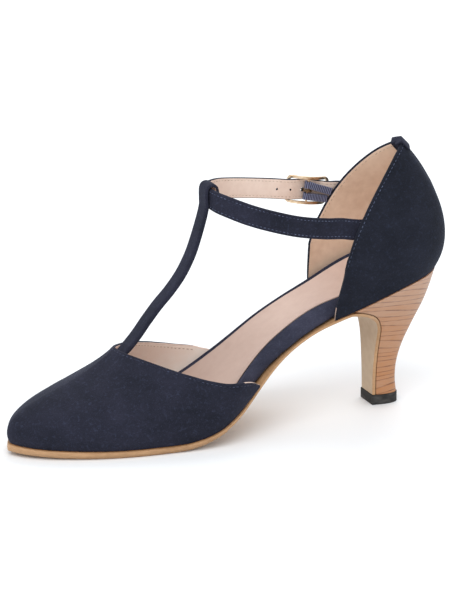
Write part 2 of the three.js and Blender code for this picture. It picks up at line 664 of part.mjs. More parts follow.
// Binding folded over the top of the back seam, loose of the wall by the gap
function makeBackTab() {
  const sections = [];
  const near = 1.5 * GAP;
  const far = near + TAB_THICKNESS;
  const innerNear = -UPPER_WALL - near;
  const innerFar = innerNear - TAB_THICKNESS;
  const corner = TAB_THICKNESS / 3;
  const topWidth = quarterSurface(0.49, 1).distanceTo(quarterSurface(0.51, 1));
  const reach = 0.01 * TAB_WIDTH / topWidth;
  for (let step = 0; step <= TAB_FACETS; step += 1) {
    const along = 0.5 + reach * (2 * step / TAB_FACETS - 1);
    const top = quarterSurface(along, 1);
    const up = top.clone().sub(quarterSurface(along, 0.92)).normalize();
    const outward = surfaceNormal(quarterSurface, along, 1);
    const spot = (out, rise) => top.clone().addScaledVector(outward, out).addScaledVector(up, rise);
    sections.push([
      spot(near, -TAB_DROP), spot(near, near), spot(innerNear, near), spot(innerNear, -TAB_DROP),
      spot(innerFar, -TAB_DROP), spot(innerFar, near + corner), spot(innerFar + corner, far),
      spot(far - corner, far), spot(far, near + corner), spot(far, -TAB_DROP),
    ]);
  }
  return loftGeometry(sections);
}

// One level of the heel block: a ring from the inner breast corner round the back to the outer one
function heelRing(at) {
  const ring = [];
  for (let step = 0; step <= HEEL_FACETS; step += 1) {
    const turn = HEEL_TURNS.inner + (HEEL_TURNS.outer - HEEL_TURNS.inner) * step / HEEL_FACETS;
    const seat = edgePoint(turn).point;
    const behind = (BREAST_REACH - seat.x) / (BREAST_REACH + SEAT_SETBACK);
    const tipX = THREE.MathUtils.lerp(BLOCK_FRONT, -HEEL_TIP_BACK, behind);
    const width = Math.min(Math.abs(seat.y) * 2 / SEAT_WIDTH, 1);
    const tipY = Math.sign(seat.y) * width ** HEEL_TIP_ROUND * HEEL_TIP_WIDTH / 2;
    const lengthwise = THREE.MathUtils.lerp(levelShare('breast', at), levelShare('back', at), behind);
    const sideways = THREE.MathUtils.lerp(levelShare('corner', at), levelShare('rear', at), behind);
    const top = soleTop(seat.x);
    ring.push(new THREE.Vector3(
      THREE.MathUtils.lerp(tipX, seat.x, lengthwise),
      THREE.MathUtils.lerp(tipY, seat.y, sideways),
      THREE.MathUtils.lerp(TOP_PIECE_THICKNESS, top, at),
    ));
  }
  return ring;
}

function levelShare(column, at) {
  return tableValue(HEEL_LEVELS, column, at);
}

const HEEL_TURNS = {
  inner: edgeTurn(1, BREAST_REACH),
  outer: edgeTurn(-1, BREAST_REACH),
};

function makeHeel() {
  return loftGeometry([...LEVELS, 1].map(heelRing));
}

// Rubber lift: the tip of the heel and of the sole's flap, drawn out by the overhang
function makeTopPiece() {
  const tip = heelRing(0);
  const flapCorner = (beside) => new THREE.Vector3(HEEL_TIP_FRONT, beside.y, 0);
  const outline = [flapCorner(tip[0]), ...tip, flapCorner(tip[tip.length - 1])];
  const grown = outline.map((point) => {
    const centre = new THREE.Vector3(BLOCK_FRONT / 2, 0, 0);
    const away = new THREE.Vector3(point.x - centre.x, point.y, 0).normalize();
    const level = new THREE.Vector3(point.x, point.y, 0);
    return level.addScaledVector(away, TOP_PIECE_OVERHANG);
  });
  const raised = grown.map((point) => point.clone().setZ(TOP_PIECE_THICKNESS));
  return loftGeometry([grown, raised]);
}

// Stations of the outsole from the foot of the breast flap to the toe: the surface towards the shoe
function outsoleStations() {
  const stations = LEVELS.map((at) => {
    const ring = heelRing(at);
    const inner = ring[0];
    const outer = ring[ring.length - 1];
    return {
      x: inner.x, z: inner.z, inner: inner.y, outer: outer.y,
      thickness: BREAST_THICKNESS, bevel: FLAP_BEVEL, flap: 1,
    };
  });
  const toe = soleX(1) - GAP;
  const start = BREAST_REACH + BREAST_TURN;
  for (let step = 0; step <= OUTSOLE_FACETS; step += 1) {
    const share = step / OUTSOLE_FACETS;
    const x = start + (toe - start) * (1 - (1 - share) ** 1.7);
    const thick = THREE.MathUtils.lerp(WAIST_THICKNESS, FOREPART_THICKNESS, blend(soleShare(x), 0.5, 0.65));
    const inner = edgeY(1, x);
    const outer = edgeY(-1, x);
    const bevel = Math.min(EDGE_BEVEL, (inner - outer) / 4);
    stations.push({ x, z: soleTop(x), inner, outer, thickness: thick, bevel, flap: 0 });
  }
  return stations;
}

// Outsole: a thin plate that follows the profile and turns down the front of the heel
function makeOutsole() {
  const stations = outsoleStations();
  const rings = stations.map((station, index) => {
    const before = stations[Math.max(index - 1, 0)];
    const after = stations[Math.min(index + 1, stations.length - 1)];
    const along = new THREE.Vector2(after.x - before.x, after.z - before.z).normalize();
    if (index === 0) along.set(0, 1);
    const out = new THREE.Vector2(along.y, -along.x);
    const start = GAP * station.flap;
    const place = (y, depth) => {
      const reach = start + depth * station.thickness;
      return new THREE.Vector3(station.x + out.x * reach, y, station.z + out.y * reach);
    };
    const { inner, outer, bevel } = station;
    return [
      place(outer, 0), place(inner, 0), place(inner, 0.5),
      place(inner - bevel, 1), place(outer + bevel, 1), place(outer, 0.5),
    ];
  });
  return loftGeometry(rings);
}

// How far the footbed's edge lies inside the sole's edge at X
function footbedInset(x) {
  const hold = tableValue(FOOTBED_ROWS, 'hold', soleShare(x));
  const waist = (soleX(1) - VAMP_TAIL_LENGTH + QUARTER_REACH) / 2;
  const upperInset = x > waist ? SOLE_EDGE_SHOW : GAP;
  return COVERED_EDGE_INSET + hold * (upperInset + UPPER_WALL + 4 * GAP - COVERED_EDGE_INSET);
}

// Section of the footbed at X: its edges, its base and the points of its dished top
function footbedSection(x) {
  const at = soleShare(x);
  const inset = footbedInset(x);
  const inner = edgeY(1, x, inset);
  const outer = edgeY(-1, x, inset);
  const innerRise = tableValue(FOOTBED_ROWS, 'inner', at) * ARCH_RISE;
  const outerRise = tableValue(FOOTBED_ROWS, 'outer', at) * OUTER_EDGE_RISE;
  const narrow = Math.min((inner - outer) / WAIST_WIDTH, 1);
  const base = soleTop(x) + SOLE_SEAM;
  const innerTop = inner - innerRise * EDGE_LEAN;
  const outerTop = outer + outerRise * EDGE_LEAN + FOOTBED_RIM * narrow;
  const top = ACROSS.map((share) => {
    const rise = share > 0 ? innerRise : outerRise;
    const dish = Math.abs(share) ** DISH_SHARPNESS * narrow;
    const height = THREE.MathUtils.lerp(FOOTBED_THICKNESS, rise, dish);
    return { y: THREE.MathUtils.lerp(outerTop, innerTop, (1 + share) / 2), height };
  });
  const rim = [top[0].y, top[0].y - FOOTBED_RIM * narrow];
  return { inner, outer, innerRise, outerRise, top, rim, base };
}

// Footbed with its covered edge; the inner edge stands up as the arch
function makeFootbed() {
  const rings = footbedStations().map((x) => {
    const { inner, outer, innerRise, outerRise, top, rim, base } = footbedSection(x);
    const place = (y, height) => new THREE.Vector3(x, y, base + height);
    const low = BASE_SHARES.map((share) => place(THREE.MathUtils.lerp(outer, inner, share), 0));
    const swell = innerRise * EDGE_LEAN;
    const bulge = [place(inner + swell / 4, innerRise / 3), place(inner - swell / 4, innerRise * 0.7)];
    const lip = rim.map((y) => place(y, top[0].height + FOOTBED_LIP));
    const surface = top.map(({ y, height }) => place(y, height)).reverse();
    return [place(outer + outerRise * EDGE_LEAN / 4, outerRise / 2), ...low, ...bulge, ...surface, ...lip];
  });
  return loftGeometry(rings);
}

// X places along the footbed, closer together near the ends
function footbedStations() {
  const heel = edgePoint(0, footbedInset(soleX(0))).point.x + FOOTBED_END;
  const toe = edgePoint(TOE_TURN, footbedInset(soleX(1))).point.x - FOOTBED_END;
  const places = [];
  for (let step = 0; step <= FOOTBED_FACETS; step += 1) {
    const even = step / FOOTBED_FACETS;
    const eased = (1 - Math.cos(Math.PI * even)) / 2;
    places.push(heel + (toe - heel) * (0.6 * eased + 0.4 * even));
  }
  return places;
}

// Leather sock that lies on the footbed, inside its rim
function makeSockLining() {
  const rings = footbedStations().slice(1, -SOCK_STOPS_SHORT).map((x) => {
    const { top, base } = footbedSection(x);
    const covered = top.slice(1, -1);
    const row = (lift) => covered.map(({ y, height }) => new THREE.Vector3(x, y, base + height + lift));
    return [...row(SOCK_GAP).reverse(), ...row(SOCK_GAP + SOCK_THICKNESS)];
  });
  return loftGeometry(rings);
}

// Flat points in side view moved to one side of their line
function offsetLine(points, distances) {
  return points.map((point, index) => {
    const before = points[Math.max(index - 1, 0)];
    const after = points[Math.min(index + 1, points.length - 1)];
    const along = after.clone().sub(before).normalize();
    return new THREE.Vector2(point.x - along.y * distances[index], point.y + along.x * distances[index]);
  });
}

// Round corner between two directions about a centre
function arcPoints(centre, radius, fromDegrees, toDegrees, steps) {
  const points = [];
  for (let step = 0; step <= steps; step += 1) {
    const angle = THREE.MathUtils.degToRad(fromDegrees + (toDegrees - fromDegrees) * step / steps);
    const across = radius * Math.cos(angle);
    const up = radius * Math.sin(angle);
    points.push(new THREE.Vector2(centre.x + across, centre.y + up));
  }
  return points;
}

// Centre strap: side view drawn as one shape with the loop's slot, then widened across the foot
function makeTStrap() {
  const throatX = soleX(1) - tableValue(VAMP_TOP_ROWS, 'back', 1) * VAMP_TAIL_LENGTH;
  const throatZ = soleTop(throatX) + SOLE_SEAM + tableValue(VAMP_TOP_ROWS, 'high', 1) * THROAT_HEIGHT;
  const line = T_STRAP_ROWS.map((row) => new THREE.Vector2(
    THREE.MathUtils.lerp(STRAP_FRONT, throatX, row.ahead),
    THREE.MathUtils.lerp(throatZ, STRAP_HEIGHT, row.high),
  ));
  const thickness = (row) => THREE.MathUtils.lerp(T_STRAP_SKIVED, T_STRAP_THICKNESS, row.full);
  const halves = T_STRAP_ROWS.map((row) => thickness(row) / 2);
  const front = offsetLine(line, halves.map((half) => -half));
  const back = offsetLine(line, halves);
  const slot = strapSlot();
  const round = LOOP_WALL + SLOT_CORNER;
  const topFront = { x: slot.front - SLOT_CORNER, y: slot.top - SLOT_CORNER };
  const topBack = { x: slot.back + SLOT_CORNER, y: slot.top - SLOT_CORNER };
  const foot = new THREE.Vector2(slot.back - LOOP_WALL, slot.bottom + LOOP_WALL);
  const outline = [
    ...front,
    new THREE.Vector2(slot.front + LOOP_WALL, slot.bottom - LOOP_WALL / 2),
    ...arcPoints(topFront, round, 0, 90, 4),
    ...arcPoints(topBack, round, 90, 180, 4),
    foot,
    ...back.reverse(),
  ];
  const shape = new THREE.Shape(outline);
  const corners = [
    [slot.front, slot.bottom, 270, 360],
    [slot.front, slot.top, 0, 90],
    [slot.back, slot.top, 90, 180],
    [slot.back, slot.bottom, 180, 270],
  ];
  const middle = { x: (slot.front + slot.back) / 2, y: (slot.bottom + slot.top) / 2 };
  const hole = corners.flatMap(([x, y, from, to]) => {
    const centre = {
      x: x + Math.sign(middle.x - x) * SLOT_CORNER,
      y: y + Math.sign(middle.y - y) * SLOT_CORNER,
    };
    return arcPoints(centre, SLOT_CORNER, from, to, 2);
  });
  shape.holes.push(new THREE.Path(hole));
  const geometry = new THREE.ExtrudeGeometry(shape, { depth: T_STRAP_WIDTH, bevelEnabled: false });
  geometry.translate(0, 0, -T_STRAP_WIDTH / 2);
  geometry.rotateX(Math.PI / 2);
  return weldedGeometry(geometry);
}

// Slot of the loop in side view: the ankle strap's section at the front, with clearance
function strapSlot() {
  const bow = (T_STRAP_WIDTH / 2) ** 2 / (2 * STRAP_FRONT_RADIUS);
  return {
    front: STRAP_FRONT + STRAP_THICKNESS / 2 + 1.5 * GAP,
    back: STRAP_FRONT - STRAP_THICKNESS / 2 - bow - 2 * GAP,
    top: STRAP_HEIGHT + STRAP_WIDTH / 2 + 2.5 * GAP,
    bottom: STRAP_HEIGHT - STRAP_WIDTH / 2 - 2.5 * GAP,
  };
}

// Copy of a geometry with shared corners merged
function weldedGeometry(geometry) {
  const plain = geometry.clone();
  plain.deleteAttribute('normal');
  plain.deleteAttribute('uv');
  const welded = mergeVertices(plain, 1e-4);
  welded.computeVertexNormals();
  return welded;
}

// Ribbon through stations, each with a middle, a half width vector and a half thickness vector
function ribbonGeometry(stations) {
  const rings = stations.map(({ middle, across, out }) => {
    const place = (side, face) => middle.clone().addScaledVector(across, side).addScaledVector(out, face);
    return [place(-1, -0.4), place(-0.92, -1), place(0.92, -1), place(1, -0.4),
      place(1, 0.4), place(0.92, 1), place(-0.92, 1), place(-1, 0.4)];
  });
  return loftGeometry(rings);
}

// Buckle's own frame: x towards the toe along the strap, y up, z out of the shoe
function buckleMatrix() {
  const end = strapRowPoint(STRAP_ROWS[STRAP_ROWS.length - 1]);
  const before = strapRowPoint(STRAP_ROWS[STRAP_ROWS.length - 2]);
  const forward = before.clone().sub(end).setY(0).normalize();
  const out = new THREE.Vector3(0, -1, 0);
  const up = out.clone().cross(forward);
  const origin = end.clone().addScaledVector(forward, -BUCKLE_AFTER);
  const frameDrop = (STRAP_WIDTH + BUCKLE_LENGTH * forward.z) / 2 + BUCKLE_CLEARANCE + BUCKLE_BAR;
  origin.y = quarterRim(-1, origin.z - frameDrop).point.y - BUCKLE_STANDOFF;
  return new THREE.Matrix4().makeBasis(forward, up, out).setPosition(origin);
}

function strapRowPoint(row) {
  return new THREE.Vector3(row.ahead * STRAP_FRONT, row.side * STRAP_HALF_WIDTH, row.high * STRAP_HEIGHT);
}

const buckleToShoe = buckleMatrix();

// Point given in the buckle's frame
function atBuckle(x, y, z) {
  return new THREE.Vector3(x, y, z).applyMatrix4(buckleToShoe);
}

// Line of the ankle strap from its hidden end in the quarter to the tip of its tail, with the quarter's
// own upward direction at both ends
function strapLine() {
  const half = BUCKLE_LENGTH / 2 - BUCKLE_BAR / 2;
  const depth = STRAP_THICKNESS / 2 + 4 * GAP;
  const start = HIDDEN_END.map(({ x, high }) => {
    const wall = quarterSide(1, x, high * STRAP_HEIGHT);
    const point = wall.point.addScaledVector(wall.outward, -depth - UPPER_WALL - GAP);
    return { point, rise: wall.rise };
  });
  const bridge = STRAP_ROWS.map(strapRowPoint);
  const between = (share) => THREE.MathUtils.lerp(STRAP_UNDER, STRAP_OVER, share);
  const woven = [
    atBuckle(half, 0, STRAP_UNDER),
    atBuckle((half + CENTRE_BAR_AHEAD) / 2, 0, between(0.5)),
    atBuckle(CENTRE_BAR_AHEAD, 0, STRAP_OVER),
    atBuckle((CENTRE_BAR_AHEAD - half) / 2, 0, between(0.55)),
    atBuckle(-half, 0, STRAP_UNDER),
  ];
  const tail = TAIL_STEPS.map((step) => {
    const spot = atBuckle(-half - step * TAIL_LENGTH, 0, STRAP_UNDER);
    const wall = quarterSide(-1, spot.x, spot.z);
    return { point: wall.point.addScaledVector(wall.outward, depth), rise: wall.rise };
  });
  const places = (ends) => ends.map((end) => end.point);
  const points = [...places(start), ...bridge, ...woven, ...places(tail)];
  const curve = new THREE.CatmullRomCurve3(points, false, 'centripetal');
  curve.arcLengthDivisions = 400;
  return { curve, startRise: start[1].rise, endRise: tail[1].rise };
}

// Ankle strap with its punched holes
function makeAnkleStrap() {
  const { curve, startRise, endRise } = strapLine();
  const length = curve.getLength();
  const stations = [];
  for (let step = 0; step <= STRAP_FACETS; step += 1) {
    const share = step / STRAP_FACETS;
    const middle = curve.getPointAt(share);
    const along = curve.getTangentAt(share);
    const upright = new THREE.Vector3(0, 0, 1);
    upright.lerp(startRise, 1 - blend(share, 0.06, 0.24));
    upright.lerp(endRise, blend(share, 0.925, 0.975));
    const across = upright.addScaledVector(along, -upright.dot(along)).normalize();
    const out = across.clone().cross(along).normalize();
    const toTip = (1 - share) * length;
    const round = Math.sqrt(1 - (1 - Math.min(toTip / (STRAP_WIDTH * 0.45), 1)) ** 2);
    const half = STRAP_WIDTH / 2 * Math.max(round, 0.3);
    stations.push({
      middle,
      across: across.multiplyScalar(half),
      out: out.multiplyScalar(STRAP_THICKNESS / 2),
    });
  }
  return punched(ribbonGeometry(stations));
}

// Places of the holes along the strap in the buckle's frame; the prong goes through the first
const HOLE_PLACES = [0, 1, 2, -1].map((count) => CENTRE_BAR_AHEAD + PRONG_AHEAD + count * HOLE_PITCH);

function punched(geometry) {
  let body = solidFrom(geometry);
  HOLE_PLACES.forEach((along, index) => {
    const clearance = index === 0 ? 2 * GAP : 0;
    const radius = HOLE_DIAMETER / 2 + clearance / 2;
    const punch = new THREE.CylinderGeometry(radius, radius, 8 * STRAP_THICKNESS, 12);
    punch.rotateX(Math.PI / 2);
    punch.translate(along, 0, STRAP_OVER / 2 + STRAP_UNDER / 2);
    punch.applyMatrix4(buckleToShoe);
    body = body.subtract(solidFrom(punch));
  });
  return geometryFrom(body);
}

// Solid for joins and cuts from a closed geometry, and back
function solidFrom(geometry) {
  const welded = weldedGeometry(geometry);
  return new wasm.Manifold(new wasm.Mesh({
    numProp: 3,
    vertProperties: new Float32Array(welded.attributes.position.array),
    triVerts: new Uint32Array(welded.index.array),
  }));
}

function geometryFrom(body) {
  const mesh = body.getMesh();
  const geometry = new THREE.BufferGeometry();
  geometry.setAttribute('position', new THREE.BufferAttribute(new Float32Array(mesh.vertProperties), 3));
  geometry.setIndex(new THREE.BufferAttribute(new Uint32Array(mesh.triVerts), 1));
  geometry.computeVertexNormals();
  return geometry;
}

// Buckle frame: a square bar swept round a rounded rectangle, with a centre bar across.
// It is bowed, so that the centre bar sits nearer the foot.
function makeBuckleFrame() {
  const half = BUCKLE_LENGTH / 2 - BUCKLE_BAR / 2;
  const tall = STRAP_WIDTH / 2 + BUCKLE_CLEARANCE + BUCKLE_BAR / 2;
  const bar = BUCKLE_BAR / 2;
  const path = roundedRectangle(half, tall, BUCKLE_CORNER);
  const rings = path.map(({ x, y, outX, outY }) => {
    const place = (out, deep) => atBuckle(x + out * outX, y + out * outY, deep - buckleBow(x));
    return [place(bar, bar), place(-bar, bar), place(-bar, -bar), place(bar, -bar)];
  });
  const centre = [tall, -tall].map((y) => [[1, 1], [-1, 1], [-1, -1], [1, -1]].map(([wide, deep]) => (
    atBuckle(CENTRE_BAR_AHEAD + wide * CENTRE_BAR / 2, y, deep * BUCKLE_BAR * 0.45 - BUCKLE_BOW)
  )));
  return geometryFrom(solidFrom(loopGeometry(rings)).add(solidFrom(loftGeometry(centre))));
}

// Closed body through rings that run round and meet again
function loopGeometry(rings) {
  const count = rings[0].length;
  const triangles = [];
  for (let ring = 0; ring < rings.length; ring += 1) {
    const here = ring * count;
    const there = ((ring + 1) % rings.length) * count;
    for (let spot = 0; spot < count; spot += 1) {
      const next = (spot + 1) % count;
      triangles.push([here + spot, here + next, there + next], [here + spot, there + next, there + spot]);
    }
  }
  return closedGeometry(rings.flat(), triangles);
}

// How far the frame dips towards the foot at a place along it
function buckleBow(along) {
  const window = BUCKLE_LENGTH / 2 - BUCKLE_BAR;
  const reach = along > CENTRE_BAR_AHEAD ? window - CENTRE_BAR_AHEAD : window + CENTRE_BAR_AHEAD;
  const share = Math.min(Math.abs(along - CENTRE_BAR_AHEAD) / reach, 1);
  return BUCKLE_BOW * (1 - share * share);
}

// Points round a rectangle with round corners, with steps along the long sides and outward directions
function roundedRectangle(halfLength, halfHeight, corner) {
  const points = [];
  const quarterTurns = [[1, -1, 3], [1, 1, 0], [-1, 1, 1], [-1, -1, 2]];
  const side = halfLength - corner;
  quarterTurns.forEach(([right, above, start]) => {
    for (let step = 0; step <= CORNER_STEPS; step += 1) {
      const angle = (start + step / CORNER_STEPS) * Math.PI / 2;
      const outX = Math.cos(angle);
      const outY = Math.sin(angle);
      const x = right * side + corner * outX;
      points.push({ x, y: above * (halfHeight - corner) + corner * outY, outX, outY });
    }
    if (right !== above) return;
    for (let step = 1; step < RAIL_STEPS; step += 1) {
      const x = above * side * (1 - 2 * step / RAIL_STEPS);
      points.push({ x, y: above * halfHeight, outX: 0, outY: above });
    }
  });
  return points;
}

// Prong: wraps the centre bar, passes out through the strap and rests on the front bar
function makeBuckleProng() {
  const bar = { x: CENTRE_BAR_AHEAD, z: -BUCKLE_BOW };
  const half = BUCKLE_LENGTH / 2;
  const radius = PRONG_DIAMETER / 2;
  const rest = BUCKLE_BAR / 2 + 2 * GAP + radius;
  const over = STRAP_OVER + STRAP_THICKNESS / 2 + GAP + radius;
  const wrap = arcPoints({ x: bar.x, y: bar.z }, PRONG_TURN, 140, 350, 7);
  const points = [
    ...wrap.map((point) => atBuckle(point.x, 0, point.y)),
    atBuckle(bar.x + PRONG_TURN, 0, bar.z + 1),
    atBuckle(bar.x + PRONG_TURN, 0, STRAP_OVER - STRAP_THICKNESS / 2),
    atBuckle(bar.x + PRONG_TURN + GAP / 2, 0, STRAP_OVER + STRAP_THICKNESS / 2),
    atBuckle(bar.x + PRONG_TURN + 3 * radius, 0, over),
    atBuckle((bar.x + half) / 2 + 1, 0, (over + rest) / 2 + GAP),
    atBuckle(half - BUCKLE_BAR / 2, 0, rest),
    atBuckle(half + radius, 0, rest - GAP),
  ];
  const path = new THREE.CatmullRomCurve3(points, false, 'centripetal');
  const section = new THREE.Shape(arcPoints({ x: 0, y: 0 }, radius, 0, 315, 7));
  const settings = { extrudePath: path, steps: PRONG_STEPS, bevelEnabled: false };
  const geometry = new THREE.ExtrudeGeometry(section, settings);
  return weldedGeometry(geometry);
}

// Elastic band: from the quarter's edge round the buckle's centre bar and back again
function makeElastic(side) {
  const bar = { x: CENTRE_BAR_AHEAD, y: -BUCKLE_BOW };
  const height = side * (PRONG_DIAMETER / 2 + 2 * GAP + ELASTIC_WIDTH / 2);
  const rimHeight = atBuckle(ELASTIC_RIM, 0, 0).z + side * (ELASTIC_WIDTH / 2 + GAP / 2) - ELASTIC_DROP;
  const rim = quarterRim(-1, rimHeight);
  const toBuckle = buckleToShoe.clone().invert();
  const end = rim.point.clone().applyMatrix4(toBuckle);
  const slope = rim.direction.clone().transformDirection(toBuckle);
  const upright = new THREE.Vector3(slope.x / slope.y, 1, 0);
  const layer = ELASTIC_THICKNESS / 2 + GAP / 2;
  const run = (share, face) => ({
    x: THREE.MathUtils.lerp(bar.x, end.x + 2 * GAP, share),
    z: THREE.MathUtils.lerp(bar.y + face * BAND_TURN, end.z + face * layer, Math.sqrt(share)),
    atRim: share,
  });
  const line = [
    ...[1, 0.75, 0.5, 0.25].map((share) => run(share, 1)),
    ...arcPoints(bar, BAND_TURN, 90, -90, 6).map((point) => ({ x: point.x, z: point.y, atRim: 0 })),
    ...[0.25, 0.5, 0.75, 1].map((share) => run(share, -1)),
  ];
  const stations = line.map((point, index) => {
    const before = line[Math.max(index - 1, 0)];
    const after = line[Math.min(index + 1, line.length - 1)];
    const out = new THREE.Vector3(after.z - before.z, 0, before.x - after.x).normalize();
    const tall = new THREE.Vector3(0, 1, 0).lerp(upright, point.atRim);
    const middle = atBuckle(point.x, THREE.MathUtils.lerp(height, end.y, point.atRim), point.z);
    return {
      middle,
      across: tall.transformDirection(buckleToShoe).multiplyScalar(tall.length() * ELASTIC_WIDTH / 2),
      out: out.transformDirection(buckleToShoe).multiplyScalar(ELASTIC_THICKNESS / 2),
    };
  });
  return ribbonGeometry(stations);
}

const FINISHES = {
  suede: { color: 0x2b2f40, roughness: 0.95, metalness: 0 },
  sole_leather: { color: 0xc9a47c, roughness: 0.6, metalness: 0 },
  stacked_leather: { color: 0xc9a07a, roughness: 0.5, metalness: 0 },
  rubber: { color: 0x333333, roughness: 0.8, metalness: 0 },
  sock_leather: { color: 0xd6bdb0, roughness: 0.6, metalness: 0 },
  gold: { color: 0xd9a95f, roughness: 0.25, metalness: 1 },
  elastic: { color: 0x4d4d68, roughness: 0.9, metalness: 0 },
};

function piece(name, geometry, finish) {
  const mesh = new THREE.Mesh(geometry, new THREE.MeshStandardMaterial(FINISHES[finish]));
  mesh.name = name;
  return mesh;
}

const shoe = new THREE.Group();
shoe.add(
  piece('outsole', makeOutsole(), 'sole_leather'),
  piece('heel', makeHeel(), 'stacked_leather'),
  piece('top_piece', makeTopPiece(), 'rubber'),
  piece('footbed', makeFootbed(), 'suede'),
  piece('sock_lining', makeSockLining(), 'sock_leather'),
  piece('vamp', makeVamp(), 'suede'),
  piece('quarter', makeQuarter(), 'suede'),
  piece('back_tab', makeBackTab(), 'suede'),
  piece('t_strap', makeTStrap(), 'suede'),
  piece('ankle_strap', makeAnkleStrap(), 'suede'),
  piece('buckle_frame', makeBuckleFrame(), 'gold'),
  piece('buckle_prong', makeBuckleProng(), 'gold'),
  piece('elastic_upper', makeElastic(1), 'elastic'),
  piece('elastic_lower', makeElastic(-1), 'elastic'),
);

export default shoe;
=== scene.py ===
"""Dresses the T-bar court shoe: suede upper, linings, straps, buckle, stacked heel, floor and light."""

import logging
import math
from collections.abc import Callable, Sequence
from dataclasses import dataclass, field
from enum import Enum
from functools import lru_cache

import bpy
import numpy as np
from mathutils import Matrix, Vector


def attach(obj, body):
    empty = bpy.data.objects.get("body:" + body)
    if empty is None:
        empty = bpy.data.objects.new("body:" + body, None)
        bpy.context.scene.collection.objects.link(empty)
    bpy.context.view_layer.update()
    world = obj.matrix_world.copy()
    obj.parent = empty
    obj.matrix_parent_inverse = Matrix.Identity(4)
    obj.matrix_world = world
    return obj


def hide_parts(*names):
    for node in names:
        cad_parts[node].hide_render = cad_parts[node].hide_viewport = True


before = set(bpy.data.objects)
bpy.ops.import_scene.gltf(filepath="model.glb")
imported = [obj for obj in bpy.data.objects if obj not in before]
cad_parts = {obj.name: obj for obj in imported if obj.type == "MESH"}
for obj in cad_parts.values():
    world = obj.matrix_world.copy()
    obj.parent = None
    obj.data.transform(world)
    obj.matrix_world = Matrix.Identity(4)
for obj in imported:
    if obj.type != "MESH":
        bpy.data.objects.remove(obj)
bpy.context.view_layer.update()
LOG = logging.getLogger("court shoe")
MM = 0.001
GAP = 0.3
UP = Vector((0, 0, 1))
Colour = tuple[float, float, float, float]


class Side(Enum):
    """Side of the foot that a piece lies on."""

    INNER = 1
    OUTER = -1


class Face(Enum):
    """Face of a layered piece."""

    OUTSIDE = 0
    LINING = 1
    CUT_EDGE = 2


# ---------------------------------------------------------------- tables and curves


def blend(value: float, start: float, end: float) -> float:
    """Gives a smooth step from 0 at start to 1 at end."""
    share = min(max((value - start) / (end - start), 0.0), 1.0)
    return share * share * (3 - 2 * share)


def mix(start: float, end: float, share: float) -> float:
    """Gives the value at a share of the way from start to end."""
    return start + (end - start) * share


def bump_at(value: float, centre: float, width: float) -> float:
    """Gives a soft ridge of height 1 at its centre."""
    return math.exp(-(((value - centre) / width) ** 2))


def narrow(low: float, high: float, is_low: Callable[[float], bool], steps: int = 18) -> float:
    """Halves a span until it closes on the place where a test turns false.

    Args:
        low: end at which the test holds.
        high: end at which it fails.
        is_low: the test.
        steps: number of halvings.

    Returns:
        The place.
    """
    for _ in range(steps):
        middle = (low + high) / 2
        low, high = (middle, high) if is_low(middle) else (low, middle)
    return (low + high) / 2


@dataclass(frozen=True)
class Table:
    """Short table of sizes, read between its rows without overshoot.

    Attributes:
        columns: names of the columns, the first is the place that rows are found by.
        rows: the sizes, one row for each place.
    """

    columns: tuple[str, ...]
    rows: tuple[tuple[float, ...], ...]

    def _slope(self, column: int, row: int) -> float:
        """Gives the slope of a column at one of its rows."""
        def step(start: int) -> float:
            rise = self.rows[start + 1][column] - self.rows[start][column]
            return rise / (self.rows[start + 1][0] - self.rows[start][0])
        if row == 0:
            return step(0)
        if row == len(self.rows) - 1:
            return step(row - 1)
        before, after = step(row - 1), step(row)
        return 0.0 if before * after <= 0 else 2 * before * after / (before + after)

    def value(self, name: str, at: float) -> float:
        """Reads one column at a place.

        Args:
            name: name of the column.
            at: place along the table.

        Returns:
            The value between the two nearest rows.
        """
        column = self.columns.index(name)
        if at <= self.rows[0][0]:
            return self.rows[0][column]
        if at >= self.rows[-1][0]:
            return self.rows[-1][column]
        row = 0
        while self.rows[row + 1][0] < at:
            row += 1
        span = self.rows[row + 1][0] - self.rows[row][0]
        share = (at - self.rows[row][0]) / span
        first, last = self.rows[row][column], self.rows[row + 1][column]
        square, cube = share * share, share ** 3
        return (first * (2 * cube - 3 * square + 1) + self._slope(column, row) * span * (cube - 2 * square + share)
                + last * (3 * square - 2 * cube) + self._slope(column, row + 1) * span * (cube - square))


